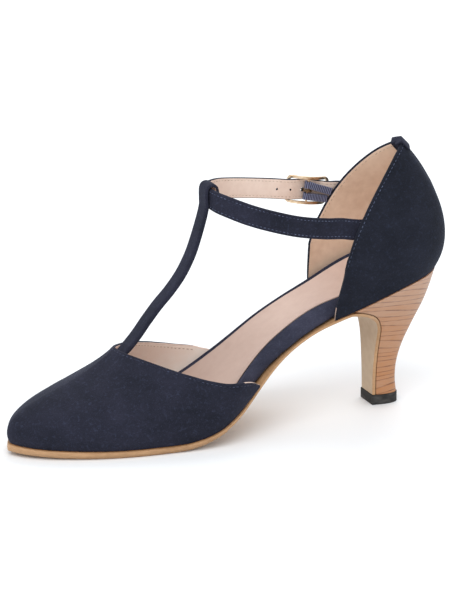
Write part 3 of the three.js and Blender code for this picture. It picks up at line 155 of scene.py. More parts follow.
class Spline:
    """Smooth curve through points, read by share of its length."""

    def __init__(self, points: Sequence[Vector], closed: bool = False, divisions: int = 400) -> None:
        """Keeps the points and measures the curve.

        Args:
            points: places that the curve passes.
            closed: whether it runs back to its first point.
            divisions: number of steps it is measured in.
        """
        self.points = list(points)
        self.closed = closed
        self.times = np.linspace(0, 1, divisions + 1)
        places = np.array([self._at_time(time) for time in self.times])
        steps = np.linalg.norm(np.diff(places, axis=0), axis=1)
        self.lengths = np.concatenate([[0], np.cumsum(steps)])

    @property
    def length(self) -> float:
        """Gives the length of the curve."""
        return float(self.lengths[-1])

    def _at_time(self, time: float) -> Vector:
        """Gives the point at a time from 0 to 1."""
        count = len(self.points)
        spot = (count - (0 if self.closed else 1)) * min(max(time, 0.0), 1.0)
        start = int(math.floor(spot))
        weight = spot - start
        if not self.closed and weight == 0 and start == count - 1:
            start, weight = count - 2, 1.0
        pick = [self.points[(start + step) % count] for step in (-1, 0, 1, 2)]
        if not self.closed and start == 0:
            pick[0] = 2 * self.points[0] - self.points[1]
        if not self.closed and start + 2 >= count:
            pick[3] = 2 * self.points[-1] - self.points[-2]
        before, here, after = [max((pick[i + 1] - pick[i]).length ** 0.5, 1e-4) for i in range(3)]
        tangent_a = ((pick[1] - pick[0]) / before - (pick[2] - pick[0]) / (before + here)
                     + (pick[2] - pick[1]) / here) * here
        tangent_b = ((pick[2] - pick[1]) / here - (pick[3] - pick[1]) / (here + after)
                     + (pick[3] - pick[2]) / after) * here
        second = -3 * pick[1] + 3 * pick[2] - 2 * tangent_a - tangent_b
        third = 2 * pick[1] - 2 * pick[2] + tangent_a + tangent_b
        return pick[1] + tangent_a * weight + second * weight ** 2 + third * weight ** 3

    def _time(self, share: float) -> float:
        """Turns a share of the length into a time."""
        return float(np.interp(share * self.length, self.lengths, self.times))

    def at(self, share: float) -> Vector:
        """Gives the point at a share of the length."""
        return self._at_time(self._time(share))

    def along(self, share: float) -> Vector:
        """Gives the direction at a share of the length."""
        time = self._time(share)
        return (self._at_time(min(time + 1e-4, 1)) - self._at_time(max(time - 1e-4, 0))).normalized()


# ---------------------------------------------------------------- finishes


class Recipe:
    """Node material that is written step by step."""

    def __init__(self, name: str) -> None:
        """Starts an empty material with one shader.

        Args:
            name: name of the material.
        """
        self.material = bpy.data.materials.new(name)
        self.material.use_nodes = True
        self.tree = self.material.node_tree
        self.shader = self.tree.nodes["Principled BSDF"]
        self.coords = self.tree.nodes.new("ShaderNodeTexCoord")

    def add(self, kind: str, settings: dict[str, object] | None = None, **inputs: object) -> bpy.types.Node:
        """Adds a node.

        Args:
            kind: type of the node.
            settings: its own settings.
            inputs: values or outputs for its inputs, spaces in names written as underlines.

        Returns:
            The node.
        """
        node = self.tree.nodes.new(kind)
        for key, value in (settings or {}).items():
            setattr(node, key, value)
        for key, value in inputs.items():
            self.feed(node.inputs[key.replace("_", " ")], value)
        return node

    def feed(self, socket: bpy.types.NodeSocket, value: object) -> None:
        """Links an output to a socket or sets its value."""
        if isinstance(value, bpy.types.NodeSocket):
            self.tree.links.new(value, socket)
        else:
            socket.default_value = value

    def math(self, operation: str, first: object, second: object = 0.0, third: object = 0.0) -> bpy.types.NodeSocket:
        """Adds a sum of two or three numbers and gives its result."""
        node = self.tree.nodes.new("ShaderNodeMath")
        node.operation = operation
        for socket, value in zip(node.inputs, (first, second, third)):
            self.feed(socket, value)
        return node.outputs[0]

    def noise(self, scale: float, detail: float = 2.0, stretch: tuple[float, float, float] = (1, 1, 1),
              source: bpy.types.NodeSocket | None = None) -> bpy.types.NodeSocket:
        """Adds a noise of so many spots a metre, stretched along the axes.

        Args:
            scale: spots in a metre.
            detail: levels of finer noise.
            stretch: factor for each axis.
            source: coordinates, the object's own if none is given.

        Returns:
            The noise from 0 to 1.
        """
        place = self.add("ShaderNodeMapping", Vector=source or self.coords.outputs["Object"], Scale=stretch)
        node = self.add("ShaderNodeTexNoise", Vector=place.outputs[0], Scale=scale, Detail=detail)
        return node.outputs["Fac"]

    def ramp(self, value: bpy.types.NodeSocket, low: float, high: float) -> bpy.types.NodeSocket:
        """Spreads the span from low to high over 0 to 1."""
        node = self.add("ShaderNodeMapRange", Value=value)
        node.inputs["From Min"].default_value = low
        node.inputs["From Max"].default_value = high
        return node.outputs[0]

    def tint(self, first: object, second: object, share: object) -> bpy.types.NodeSocket:
        """Mixes two colours by a share."""
        node = self.tree.nodes.new("ShaderNodeMix")
        node.data_type = "RGBA"
        self.feed(node.inputs[0], share)
        self.feed(node.inputs[6], first)
        self.feed(node.inputs[7], second)
        return node.outputs[2]

    def relief(self, height: bpy.types.NodeSocket, strength: float, depth: float) -> None:
        """Gives the surface a fine relief of a depth in metres."""
        bump = self.add("ShaderNodeBump", Height=height, Strength=strength, Distance=depth)
        self.feed(self.shader.inputs["Normal"], bump.outputs[0])

    def surface(self, **sockets: object) -> bpy.types.Material:
        """Sets the shader's sockets and gives the material."""
        for key, value in sockets.items():
            self.feed(self.shader.inputs[key.replace("_", " ")], value)
        return self.material


def tone(red: int, green: int, blue: int) -> Colour:
    """Turns a screen colour into the linear colour that shaders use."""
    line = [value / 255 for value in (red, green, blue)]
    return (*[value / 12.92 if value <= 0.04045 else ((value + 0.055) / 1.055) ** 2.4 for value in line], 1.0)


@dataclass(frozen=True)
class Suede:
    """Napped leather: soft blotches, short nap and light fibre ends.

    Attributes:
        name: name of the material.
        dark: colour of the deep nap.
        light: colour of the raised nap.
        fibre: colour of the fibre ends.
    """

    name: str = "navy suede"
    dark: Colour = tone(25, 27, 38)
    light: Colour = tone(42, 43, 58)
    fibre: Colour = tone(76, 84, 112)

    def make(self) -> bpy.types.Material:
        """Writes the material."""
        recipe = Recipe(self.name)
        blotch = recipe.ramp(recipe.noise(42, 4), 0.34, 0.68)
        stroke = recipe.ramp(recipe.noise(150, 3, (1, 1, 2.2)), 0.3, 0.75)
        nap = recipe.noise(2300, 3)
        long_nap = recipe.noise(1500, 2, (0.45, 1, 1.6))
        base = recipe.tint(self.dark, self.light, recipe.math("MULTIPLY_ADD", stroke, 0.4,
                                                              recipe.math("MULTIPLY", blotch, 0.6)))
        speck = recipe.math("MULTIPLY", recipe.ramp(recipe.noise(640, 3), 0.55, 0.85), 0.26)
        flecked = recipe.tint(base, self.fibre, speck)
        fine = recipe.tint(flecked, self.fibre, recipe.math("MULTIPLY", recipe.ramp(nap, 0.56, 0.8), 0.34))
        deep = recipe.tint(fine, self.dark, recipe.math("MULTIPLY", recipe.ramp(long_nap, 0.5, 0.24), 0.5))
        recipe.relief(recipe.math("ADD", nap, long_nap), 0.5, 0.00022)
        return recipe.surface(
            Base_Color=deep, Roughness=recipe.math("MULTIPLY_ADD", nap, 0.16, 0.8), Specular_IOR_Level=0.18,
            Sheen_Weight=0.09, Sheen_Roughness=0.4, Sheen_Tint=tone(150, 165, 200))


@dataclass(frozen=True)
class Leather:
    """Smooth or lightly grained leather with soft colour changes.

    Attributes:
        name: name of the material.
        dark: colour of the darker clouds.
        light: colour of the lighter clouds.
        roughness: dullness of the face.
        grain: pores in a metre.
        depth: depth of the grain in metres.
        streaks: stretch of the colour streaks.
        toe_shade: share of painted shade toward the toe, where the vamp shades the sock.
    """

    name: str
    dark: Colour
    light: Colour
    roughness: float = 0.55
    grain: float = 1300.0
    depth: float = 0.00009
    streaks: tuple[float, float, float] = (1, 1, 1)
    toe_shade: float = 0.0

    def make(self) -> bpy.types.Material:
        """Writes the material."""
        recipe = Recipe(self.name)
        cloud = recipe.ramp(recipe.noise(38, 4), 0.3, 0.72)
        apart = recipe.add("ShaderNodeSeparateXYZ", Vector=recipe.coords.outputs["Object"]).outputs
        # Painted shade: the colour darkens toward the toe, where the vamp shades the sock.
        toe_shade_share = recipe.math("MULTIPLY", recipe.ramp(apart["X"], 0.03, 0.1), self.toe_shade)
        streak = recipe.ramp(recipe.noise(260, 3, self.streaks), 0.32, 0.74)
        share = recipe.math("MULTIPLY_ADD", streak, 0.4, recipe.math("MULTIPLY", cloud, 0.6))
        pores = recipe.add("ShaderNodeTexVoronoi", {"feature": "SMOOTH_F1"},
                           Vector=recipe.coords.outputs["Object"], Scale=self.grain)
        fine = recipe.noise(self.grain * 1.9, 3)
        recipe.relief(recipe.math("MULTIPLY_ADD", fine, 0.7, pores.outputs["Distance"]), 0.45, self.depth)
        # tone(120, 96, 84) is the colour of the painted shade toward the toe.
        colour = recipe.tint(recipe.tint(self.dark, self.light, share), tone(120, 96, 84), toe_shade_share)
        return recipe.surface(Base_Color=colour, Specular_IOR_Level=0.32,
                              Roughness=recipe.math("MULTIPLY_ADD", fine, 0.2, self.roughness - 0.1))


@dataclass(frozen=True)
class StackedLeather:
    """Heel cover of thin layers with dark glue lines, slightly uneven and sloping lower down.

    Attributes:
        name: name of the material.
        pale: colour of the lighter layers.
        warm: colour of the warmer layers.
        line: colour of the glue lines.
        layers: layers in a metre.
    """

    name: str = "stacked heel leather"
    pale: Colour = tone(176, 134, 104)
    warm: Colour = tone(176, 118, 72)
    line: Colour = tone(98, 58, 38)
    layers: float = 370.0

    def make(self) -> bpy.types.Material:
        """Writes the material."""
        recipe = Recipe(self.name)
        apart = recipe.add("ShaderNodeSeparateXYZ", Vector=recipe.coords.outputs["Object"]).outputs
        slope = recipe.ramp(apart["Z"], 0.03, 0.008)
        turned = recipe.math("MULTIPLY_ADD", apart["Y"], -0.2, apart["Z"])
        tilted = recipe.math("MULTIPLY_ADD", apart["X"], recipe.math("MULTIPLY_ADD", slope, 0.25, -0.1), turned)
        sway = recipe.math("MULTIPLY_ADD", recipe.noise(24, 1, (1, 1, 0.3)), 0.0012, tilted)
        level = recipe.math("MULTIPLY", sway, self.layers)
        uneven = recipe.math("MULTIPLY_ADD", recipe.noise(120, 0, (0, 0, 1)), 1.9, level)
        index = recipe.math("FLOOR", uneven)
        part = recipe.math("FRACT", uneven)
        near = recipe.math("ABSOLUTE", recipe.math("SUBTRACT", part, 0.5))
        ragged = recipe.math("MULTIPLY_ADD", recipe.noise(900, 2, (1, 1, 0.4)), 0.035, near)
        glue = recipe.ramp(ragged, 0.4, 0.475)
        gaps = recipe.ramp(recipe.noise(150, 2, (1, 1, 2)), 0.36, 0.6)
        mark = recipe.math("MULTIPLY", glue, recipe.math("MULTIPLY_ADD", gaps, 0.5, 0.28))
        pick = recipe.add("ShaderNodeTexWhiteNoise", {"noise_dimensions": "1D"})
        recipe.feed(pick.inputs["W"], index)
        fibre = recipe.ramp(recipe.noise(300, 5, (0.8, 0.8, 6)), 0.32, 0.7)
        high = recipe.ramp(apart["Z"], 0.012, 0.055)
        share = recipe.math("MULTIPLY_ADD", high, -0.42, recipe.math("MULTIPLY_ADD", fibre, 0.4, recipe.math(
            "MULTIPLY_ADD", pick.outputs["Value"], 0.42, 0.2)))
        body = recipe.tint(self.pale, self.warm, share)
        colour = recipe.tint(body, self.line, mark)
        recipe.relief(recipe.math("SUBTRACT", recipe.math("MULTIPLY", fibre, 0.18), mark), 0.5, 0.00012)
        return recipe.surface(Base_Color=colour, Roughness=recipe.math("MULTIPLY_ADD", fibre, 0.14, 0.38),
                              Specular_IOR_Level=0.4, Coat_Weight=0.12, Coat_Roughness=0.35)


@dataclass(frozen=True)
class Rubber:
    """Hard black lift with a dull, slightly worn face.

    Attributes:
        name: name of the material.
        dark: colour of the rubber.
        worn: colour where it is scuffed.
    """

    name: str = "black heel rubber"
    dark: Colour = tone(38, 38, 38)
    worn: Colour = tone(78, 76, 74)

    def make(self) -> bpy.types.Material:
        """Writes the material."""
        recipe = Recipe(self.name)
        grit = recipe.noise(1800, 3)
        scuff = recipe.ramp(recipe.noise(170, 4, (1, 1, 2.5)), 0.48, 0.76)
        recipe.relief(grit, 0.5, 0.00015)
        return recipe.surface(Base_Color=recipe.tint(self.dark, self.worn, scuff), Specular_IOR_Level=0.3,
                              Roughness=recipe.math("MULTIPLY_ADD", grit, 0.25, 0.58))


@dataclass(frozen=True)
class GoldMetal:
    """Polished gold-coloured metal with fine rub marks.

    Attributes:
        name: name of the material.
        bright: colour of the polish.
        deep: colour of the rub marks.
    """

    name: str = "gold buckle metal"
    bright: Colour = tone(244, 224, 196)
    deep: Colour = tone(206, 172, 128)

    def make(self) -> bpy.types.Material:
        """Writes the material."""
        recipe = Recipe(self.name)
        rub = recipe.noise(900, 3, (0.3, 1, 1))
        recipe.relief(rub, 0.12, 0.00004)
        return recipe.surface(Base_Color=recipe.tint(self.bright, self.deep, recipe.ramp(rub, 0.35, 0.7)),
                              Metallic=1.0, Roughness=recipe.math("MULTIPLY_ADD", rub, 0.14, 0.24))


@dataclass(frozen=True)
class RibbedElastic:
    """Woven elastic: pale cross ribs over a dark ground.

    Attributes:
        name: name of the material.
        ground: colour between the ribs.
        rib: colour of the ribs.
        ribs: number of ribs.
    """

    name: str = "ribbed elastic"
    ground: Colour = tone(30, 31, 50)
    rib: Colour = tone(136, 140, 170)
    ribs: float = 32.0

    def make(self) -> bpy.types.Material:
        """Writes the material."""
        recipe = Recipe(self.name)
        apart = recipe.add("ShaderNodeSeparateXYZ", Vector=recipe.coords.outputs["UV"]).outputs
        wave = recipe.math("SINE", recipe.math("MULTIPLY", apart["X"], self.ribs * 2 * math.pi))
        weave = recipe.noise(2600, 2)
        lift = recipe.math("MULTIPLY_ADD", weave, 0.5, recipe.ramp(wave, -0.8, 1.0))
        recipe.relief(weave, 0.5, 0.0001)
        return recipe.surface(Base_Color=recipe.tint(self.ground, self.rib, recipe.ramp(lift, 0.5, 1.35)),
                              Roughness=0.82, Specular_IOR_Level=0.25, Sheen_Weight=0.2)


@dataclass(frozen=True)
class Thread:
    """Sewing thread with a faint twist, with painted shade between its strands and on some whole stitches.

    Attributes:
        name: name of the material.
        colour: colour of the thread.
        shade: colour of the painted shade between its strands and on stitches sunk into the nap.
    """

    name: str
    colour: Colour
    shade: Colour

    def make(self) -> bpy.types.Material:
        """Writes the material."""
        recipe = Recipe(self.name)
        twist = recipe.noise(3200, 1, (1, 1, 1.8))
        # Painted shade: the twist's grooves, and the stitches picked by the coarser noise as if sunk into the nap,
        # take the shade colour.
        sunk = recipe.math("MULTIPLY", recipe.ramp(twist, 0.3, 0.62), recipe.ramp(recipe.noise(230, 1), 0.36, 0.58))
        recipe.relief(twist, 0.4, 0.00008)
        return recipe.surface(Base_Color=recipe.tint(self.shade, self.colour, sunk),
                              Roughness=0.6, Specular_IOR_Level=0.3)


@dataclass(frozen=True)
class Paper:
    """Pale matt sheet for the floor.

    Attributes:
        name: name of the material.
        colour: colour of the sheet.
        cloud: colour of its faint clouds.
    """

    name: str = "pale floor"
    colour: Colour = (0.9, 0.925, 0.95, 1.0)
    cloud: Colour = (0.88, 0.905, 0.93, 1.0)

    def make(self) -> bpy.types.Material:
        """Writes the material."""
        recipe = Recipe(self.name)
        share = recipe.ramp(recipe.noise(3, 2), 0.2, 0.8)
        return recipe.surface(Base_Color=recipe.tint(self.colour, self.cloud, share),
                              Roughness=0.9, Specular_IOR_Level=0.05)


class Finishes:
    """All finishes of the shoe, each written once."""

    def __init__(self) -> None:
        """Writes the materials."""
        self.suede = Suede().make()
        # Darker copy of the navy suede for the quarter: painted shade, as the back of the shoe is turned away from
        # the key lamp.
        self.shaded_suede = Suede("painted shade navy suede", tone(17, 20, 29), tone(32, 35, 47), tone(60, 70, 96)).make()
        # Lighter copy of the navy suede for the footbed's cover.
        self.lighter_suede = Suede("lighter navy suede", tone(40, 42, 56), tone(64, 65, 82), tone(90, 96, 122)).make()
        self.strap_lining = Leather("strap lining", tone(216, 191, 176), tone(236, 216, 203)).make()
        self.vamp_lining = Leather("vamp lining", tone(250, 230, 216), tone(255, 243, 234)).make()
        self.quarter_lining = Leather("quarter lining", tone(216, 186, 162), tone(244, 220, 198), 0.75, 1700,
                                      0.00014).make()
        # The sock gets painted shade toward the toe, under the vamp.
        self.sock = Leather("sock leather", tone(200, 174, 162), tone(214, 190, 178), 0.5, 1100, 0.00005,
                            toe_shade=0.42).make()
        self.cut_edge = Leather("cut lining edge", tone(196, 170, 156), tone(226, 204, 192), 0.8, 2200).make()
        self.sole = Leather("sole leather", tone(160, 122, 86), tone(200, 160, 120), 0.45, 1500, 0.00008,
                            (1, 1, 4)).make()
        self.flap = Leather("sole flap face", tone(182, 160, 136), tone(206, 188, 164), 0.7, 1900).make()
        self.stack = StackedLeather().make()
        self.rubber = Rubber().make()
        self.gold = GoldMetal().make()
        # Darkened gold for the prong: painted shade and a dark painted reflection, as the prong sits in shadow under
        # the strap.
        self.shaded_gold = GoldMetal("painted shade gold", tone(132, 108, 80), tone(84, 66, 46)).make()
        self.elastic = RibbedElastic().make()
        self.blue_thread = Thread("blue grey thread", tone(100, 110, 138), tone(44, 50, 70)).make()
        self.dark_thread = Thread("navy thread", tone(70, 78, 104), tone(34, 38, 54)).make()
        self.beige_thread = Thread("beige thread", tone(222, 204, 186), tone(168, 142, 124)).make()


# ---------------------------------------------------------------- making of meshes


def clear_selection() -> None:
    """Deselects all objects."""
    bpy.ops.object.select_all(action="DESELECT")


def pick(piece: bpy.types.Object) -> None:
    """Selects one piece alone and makes it the active one."""
    clear_selection()
    piece.select_set(True)
    bpy.context.view_layer.objects.active = piece


def settle(piece: bpy.types.Object, name: str) -> bpy.types.Object:
    """Moves a piece's place into its mesh and names it.

    Args:
        piece: the object.
        name: its name.

    Returns:
        The same object, at the origin.
    """
    pick(piece)
    bpy.ops.object.transform_apply(location=True, rotation=True, scale=True)
    piece.name = name
    piece.data.name = name
    return piece


def shaped_grid(name: str, rows: int, columns: int, place: Callable[[float, float], Vector],
                angle: float = 50.0, split_ends: bool = False) -> bpy.types.Object:
    """Adds a grid, moves its points into a closed body and closes its seam and ends.

    Args:
        name: name of the piece.
        rows: steps along the piece.
        columns: steps round its section.
        place: gives the place in millimetres at a share along and a share round.
        angle: edges sharper than this stay sharp, in degrees.
        split_ends: whether the end faces are split into triangles.

    Returns:
        The piece, with its own UV map of share along and share round.
    """
    clear_selection()
    bpy.ops.mesh.primitive_grid_add(x_subdivisions=rows, y_subdivisions=columns, size=2, calc_uvs=True)
    piece = bpy.context.object
    for vertex in piece.data.vertices:
        along, round_share = (vertex.co.x + 1) / 2, (vertex.co.y + 1) / 2
        vertex.co = place(along, round_share) * MM
    bpy.ops.object.mode_set(mode="EDIT")
    bpy.ops.mesh.select_all(action="SELECT")
    bpy.ops.mesh.remove_doubles(threshold=1e-6)
    bpy.ops.mesh.select_all(action="SELECT")
    bpy.ops.mesh.fill_holes(sides=0)
    if split_ends:
        bpy.ops.mesh.select_all(action="DESELECT")
        bpy.ops.mesh.select_face_by_sides(number=8, type="GREATER")
        bpy.ops.mesh.quads_convert_to_tris()
    bpy.ops.mesh.select_all(action="SELECT")
    bpy.ops.mesh.normals_make_consistent(inside=False)
    bpy.ops.object.mode_set(mode="OBJECT")
    bpy.ops.object.shade_smooth_by_angle(angle=math.radians(angle))
    return settle(piece, name)


def paint_faces(piece: bpy.types.Object, materials: Sequence[bpy.types.Material],
                choose: Callable[[float, float, bpy.types.MeshPolygon], int]) -> None:
    """Gives each face one of the piece's materials by its place on the UV map.

    Args:
        piece: the object.
        materials: its finishes, in slot order.
        choose: gives the slot for a share along, a share round and the face.
    """
    piece.data.materials.clear()
    for material in materials:
        piece.data.materials.append(material)
    layer = piece.data.uv_layers.active.data if piece.data.uv_layers else None
    for polygon in piece.data.polygons:
        spots = [layer[index].uv for index in polygon.loop_indices] if layer else [Vector((0, 0))]
        along = sum(spot.x for spot in spots) / len(spots)
        round_share = sum(spot.y for spot in spots) / len(spots)
        polygon.material_index = choose(along, round_share, polygon)


def dress(piece: bpy.types.Object, material: bpy.types.Material) -> bpy.types.Object:
    """Gives a whole piece one finish and returns it."""
    piece.data.materials.clear()
    piece.data.materials.append(material)
    return piece


def hand_over(piece: bpy.types.Object, slot: str, *nodes: str) -> bpy.types.Object:
    """Lets a finished piece ride on the shoe and stand for CAD nodes.

    Args:
        piece: the finished object.
        slot: material slot of the record, not used.
        nodes: CAD nodes that it stands for.

    Returns:
        The piece.
    """
    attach(piece, "root")
    if nodes:
        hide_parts(*nodes)
    LOG.info("made %s with %d faces", piece.name, len(piece.data.polygons))
    return piece


def refined_copy(node: str, name: str, bevel: float, levels: int, angle: float = 35.0) -> bpy.types.Object:
    """Copies a CAD node, welds it, rounds its sharp edges and smooths it.

    Args:
        node: name of the CAD node.
        name: name of the new piece.
        bevel: width of the rounded edges, millimetres.
        levels: steps of subdivision.
        angle: edges sharper than this are rounded, in degrees.

    Returns:
        The new piece.
    """
    clear_selection()
    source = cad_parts[node]
    piece = source.copy()
    piece.data = source.data.copy()
    piece.parent = None
    piece.matrix_world = Matrix.Identity(4)
    bpy.context.collection.objects.link(piece)
    pick(piece)
    piece.data.materials.clear()
    bpy.ops.object.mode_set(mode="EDIT")
    bpy.ops.mesh.select_all(action="SELECT")
    bpy.ops.mesh.remove_doubles(threshold=1e-6)
    bpy.ops.mesh.customdata_custom_splitnormals_clear()
    bpy.ops.mesh.tris_convert_to_quads(face_threshold=math.radians(30), shape_threshold=math.radians(60))
    bpy.ops.object.mode_set(mode="OBJECT")
    if bevel:
        rounding = piece.modifiers.new("rounded edges", "BEVEL")
        rounding.width = bevel * MM
        rounding.segments = 2
        rounding.limit_method = "ANGLE"
        rounding.angle_limit = math.radians(angle)
        rounding.harden_normals = False
        bpy.ops.object.modifier_apply(modifier=rounding.name)
    if levels:
        smooth = piece.modifiers.new("smooth", "SUBSURF")
        smooth.levels = levels
        smooth.render_levels = levels
        bpy.ops.object.modifier_apply(modifier=smooth.name)
    bpy.ops.object.shade_smooth_by_angle(angle=math.radians(angle + 10))
    return settle(piece, name)


@dataclass
class Stitch:
    """One stitch's place.

    Attributes:
        middle: place in millimetres.
        along: direction of the seam.
        out: direction away from the surface.
    """

    middle: Vector
    along: Vector
    out: Vector


@dataclass
class Seam:
    """Row of stitches, modelled once and copied along a path.

    Attributes:
        pitch: distance from stitch to stitch, millimetres.
        length: length of one stitch.
        width: width of the thread.
        sunk: how deep the thread's middle lies under the surface.
    """

    pitch: float = 2.2
    length: float = 1.5
    width: float = 0.38
    sunk: float = 0.03

    def spread(self, path: Sequence[Stitch]) -> list[Stitch]:
        """Spaces stitches evenly on a path.

        Args:
            path: close places along the seam.

        Returns:
            The stitches' places.
        """
        steps = [(second.middle - first.middle).length for first, second in zip(path, path[1:])]
        lengths = np.concatenate([[0], np.cumsum(steps)])
        count = max(int(lengths[-1] / self.pitch), 2)
        stitches = []
        for target in np.linspace(0, lengths[-1], count + 1)[:-1] + lengths[-1] / count / 2:
            index = min(int(np.searchsorted(lengths, target)), len(path) - 1)
            before, after = path[index - 1], path[index]
            share = (target - lengths[index - 1]) / max(lengths[index] - lengths[index - 1], 1e-6)
            along = (after.middle - before.middle).normalized()
            out = before.out.lerp(after.out, share).normalized()
            stitches.append(Stitch(before.middle.lerp(after.middle, share), along, out))
        return stitches

    def sew(self, name: str, paths: Sequence[Sequence[Stitch]], material: bpy.types.Material,
            slot: str) -> bpy.types.Object:
        """Sews the seams of one name.

        Args:
            name: name of the piece.
            paths: one path for each row of stitches.
            material: the thread's finish.
            slot: material slot of the record.

        Returns:
            All stitches as one piece.
        """
        clear_selection()
        bpy.ops.mesh.primitive_uv_sphere_add(segments=8, ring_count=5, radius=1)
        model = bpy.context.object
        model.scale = (self.length / 2 * MM, self.width / 2 * MM, self.width * 0.4 * MM)
        bpy.ops.object.transform_apply(location=False, rotation=False, scale=True)
        bpy.ops.object.shade_smooth()
        copies = []
        for path in paths:
            for stitch in self.spread(path):
                across = stitch.out.cross(stitch.along).normalized()
                out = stitch.along.cross(across).normalized()
                turn = Matrix((stitch.along, across, out)).transposed().to_4x4()
                turn.translation = (stitch.middle - out * self.sunk) * MM
                twin = model.copy()
                twin.data = model.data.copy()
                twin.data.transform(turn)
                bpy.context.collection.objects.link(twin)
                copies.append(twin)
        clear_selection()
        for twin in copies:
            twin.select_set(True)
        bpy.context.view_layer.objects.active = copies[0]
        bpy.ops.object.join()
        bpy.data.objects.remove(model)
        return hand_over(dress(settle(copies[0], name), material), slot)


# ---------------------------------------------------------------- sizes of the shoe's lines

SOLE_PLAN = Table(("at", "of", "inner", "outer"), (
    (0, 51, 0, 0),
    (0.004, 51, 0.128, 0.128),
    (0.019, 51, 0.255, 0.255),
    (0.048, 51, 0.38, 0.382),
    (0.085, 51, 0.458, 0.465),
    (0.13, 51, 0.492, 0.506),
    (0.174, 51, 0.488, 0.512),
    (0.218, 51, 0.454, 0.502),
    (0.258, 42, 0.488, 0.598),
    (0.298, 42, 0.426, 0.6),
    (0.342, 42, 0.421, 0.624),
    (0.386, 42, 0.452, 0.655),
    (0.422, 75, 0.288, 0.388),
    (0.451, 75, 0.33, 0.409),
    (0.482, 75, 0.387, 0.432),
    (0.517, 75, 0.45, 0.466),
    (0.561, 75, 0.493, 0.497),
    (0.614, 75, 0.496, 0.517),
    (0.676, 75, 0.483, 0.512),
    (0.747, 75, 0.465, 0.478),
    (0.812, 75, 0.427, 0.427),
    (0.865, 75, 0.379, 0.366),
    (0.914, 75, 0.32, 0.277),
    (0.957, 75, 0.248, 0.16),
    (0.983, 75, 0.182, 0.043),
    (0.996, 75, 0.13, -0.05),
    (1, 75, 0.09, -0.09),
))
SOLE_PROFILE = Table(("at", "climb", "spring"), (
    (-0.02, 1.004, 0),
    (0.029, 0.988, 0),
    (0.076, 0.962, 0),
    (0.121, 0.921, 0),
    (0.165, 0.867, 0),
    (0.209, 0.804, 0),
    (0.253, 0.735, 0),
    (0.298, 0.667, 0),
    (0.342, 0.59, 0),
    (0.386, 0.498, 0),
    (0.43, 0.384, 0),
    (0.473, 0.267, 0),
    (0.517, 0.159, 0),
    (0.561, 0.076, 0),
    (0.606, 0.025, 0),
    (0.643, 0.004, 0),
    (0.678, 0, 0),
    (0.782, 0, 0),
    (0.847, 0, 0.14),
    (0.914, 0, 0.4),
    (0.961, 0, 0.68),
    (1, 0, 1),
))
VAMP_TOP = Table(("at", "back", "inner", "outer", "high", "dip"), (
    (0, 1, 0.68, 0.83, 0.05, 0),
    (0.035, 0.972, 0.755, 0.862, 0.175, 0.03),
    (0.067, 0.945, 0.813, 0.887, 0.268, 0.045),
    (0.105, 0.917, 0.86, 0.903, 0.345, 0.038),
    (0.18, 0.854, 0.9, 0.908, 0.473, 0.018),
    (0.26, 0.781, 0.86, 0.857, 0.612, 0.01),
    (0.37, 0.695, 0.75, 0.745, 0.747, 0.012),
    (0.515, 0.61, 0.585, 0.575, 0.843, 0.018),
    (0.64, 0.548, 0.415, 0.4, 0.903, 0.035),
    (0.78, 0.503, 0.23, 0.22, 0.938, 0.035),
    (0.88, 0.486, 0.102, 0.095, 0.949, 0.015),
    (1, 0.481, 0, 0, 0.952, 0),
))
VAMP_WALL = Table(("at", "lift", "drop", "reach", "low", "full"), (
    (0, 0.33, 0.33, 0.33, 0.024, 0),
    (0.067, 0.33, 0.33, 0.33, 0.028, 0.002),
    (0.105, 0.34, 0.33, 0.33, 0.032, 0.006),
    (0.18, 0.36, 0.33, 0.36, 0.038, 0.012),
    (0.26, 0.39, 0.32, 0.5, 0.042, 0.012),
    (0.37, 0.41, 0.31, 0.62, 0.042, 0.006),
    (0.515, 0.46, 0.34, 0.56, 0.04, 0),
    (0.64, 0.5, 0.42, 0.5, 0.04, -0.004),
    (0.78, 0.49, 0.49, 0.45, 0.066, -0.006),
    (0.88, 0.47, 0.52, 0.42, 0.096, -0.004),
    (1, 0.46, 0.53, 0.42, 0.122, -0.002),
))
QUARTER_TOP = Table(("at", "inner", "outer", "side", "high"), (
    (0, 0.902, 0.902, 0.953, 0.139),
    (0.16, 0.851, 0.856, 0.933, 0.262),
    (0.3, 0.758, 0.768, 0.875, 0.402),
    (0.43, 0.62, 0.662, 0.78, 0.552),
    (0.57, 0.462, 0.528, 0.655, 0.694),
    (0.69, 0.275, 0.348, 0.475, 0.836),
    (0.8, 0.138, 0.192, 0.314, 0.927),
    (0.9, 0.044, 0.068, 0.165, 0.977),
    (1, 0, 0, 0, 1),
))
QUARTER_WALL = Table(("at", "lift", "drop", "reach", "low", "full"), (
    (0, 0.33, 0.33, 0.33, 0.04, 0.012),
    (0.16, 0.34, 0.33, 0.33, 0.052, 0.026),
    (0.3, 0.35, 0.33, 0.33, 0.062, 0.04),
    (0.43, 0.35, 0.34, 0.34, 0.075, 0.056),
    (0.57, 0.35, 0.34, 0.36, 0.11, 0.08),
    (0.69, 0.34, 0.33, 0.4, 0.15, 0.105),
    (0.8, 0.31, 0.3, 0.46, 0.213, 0.1),
    (0.9, 0.29, 0.26, 0.54, 0.264, 0.104),
    (1, 0.28, 0.24, 0.6, 0.283, 0.105),
))
T_STRAP_LINE = Table(("ahead", "high", "full"), (
    (1.14, -0.15, 0),
    (1.07, -0.102, 0),
    (0.99, -0.05, 0),
    (0.893, 0.011, 1),
    (0.79, 0.087, 1),
    (0.691, 0.173, 1),
    (0.562, 0.278, 1),
    (0.43, 0.372, 1),
    (0.313, 0.472, 1),
    (0.226, 0.574, 1),
    (0.165, 0.67, 1),
    (0.095, 0.779, 1),
))
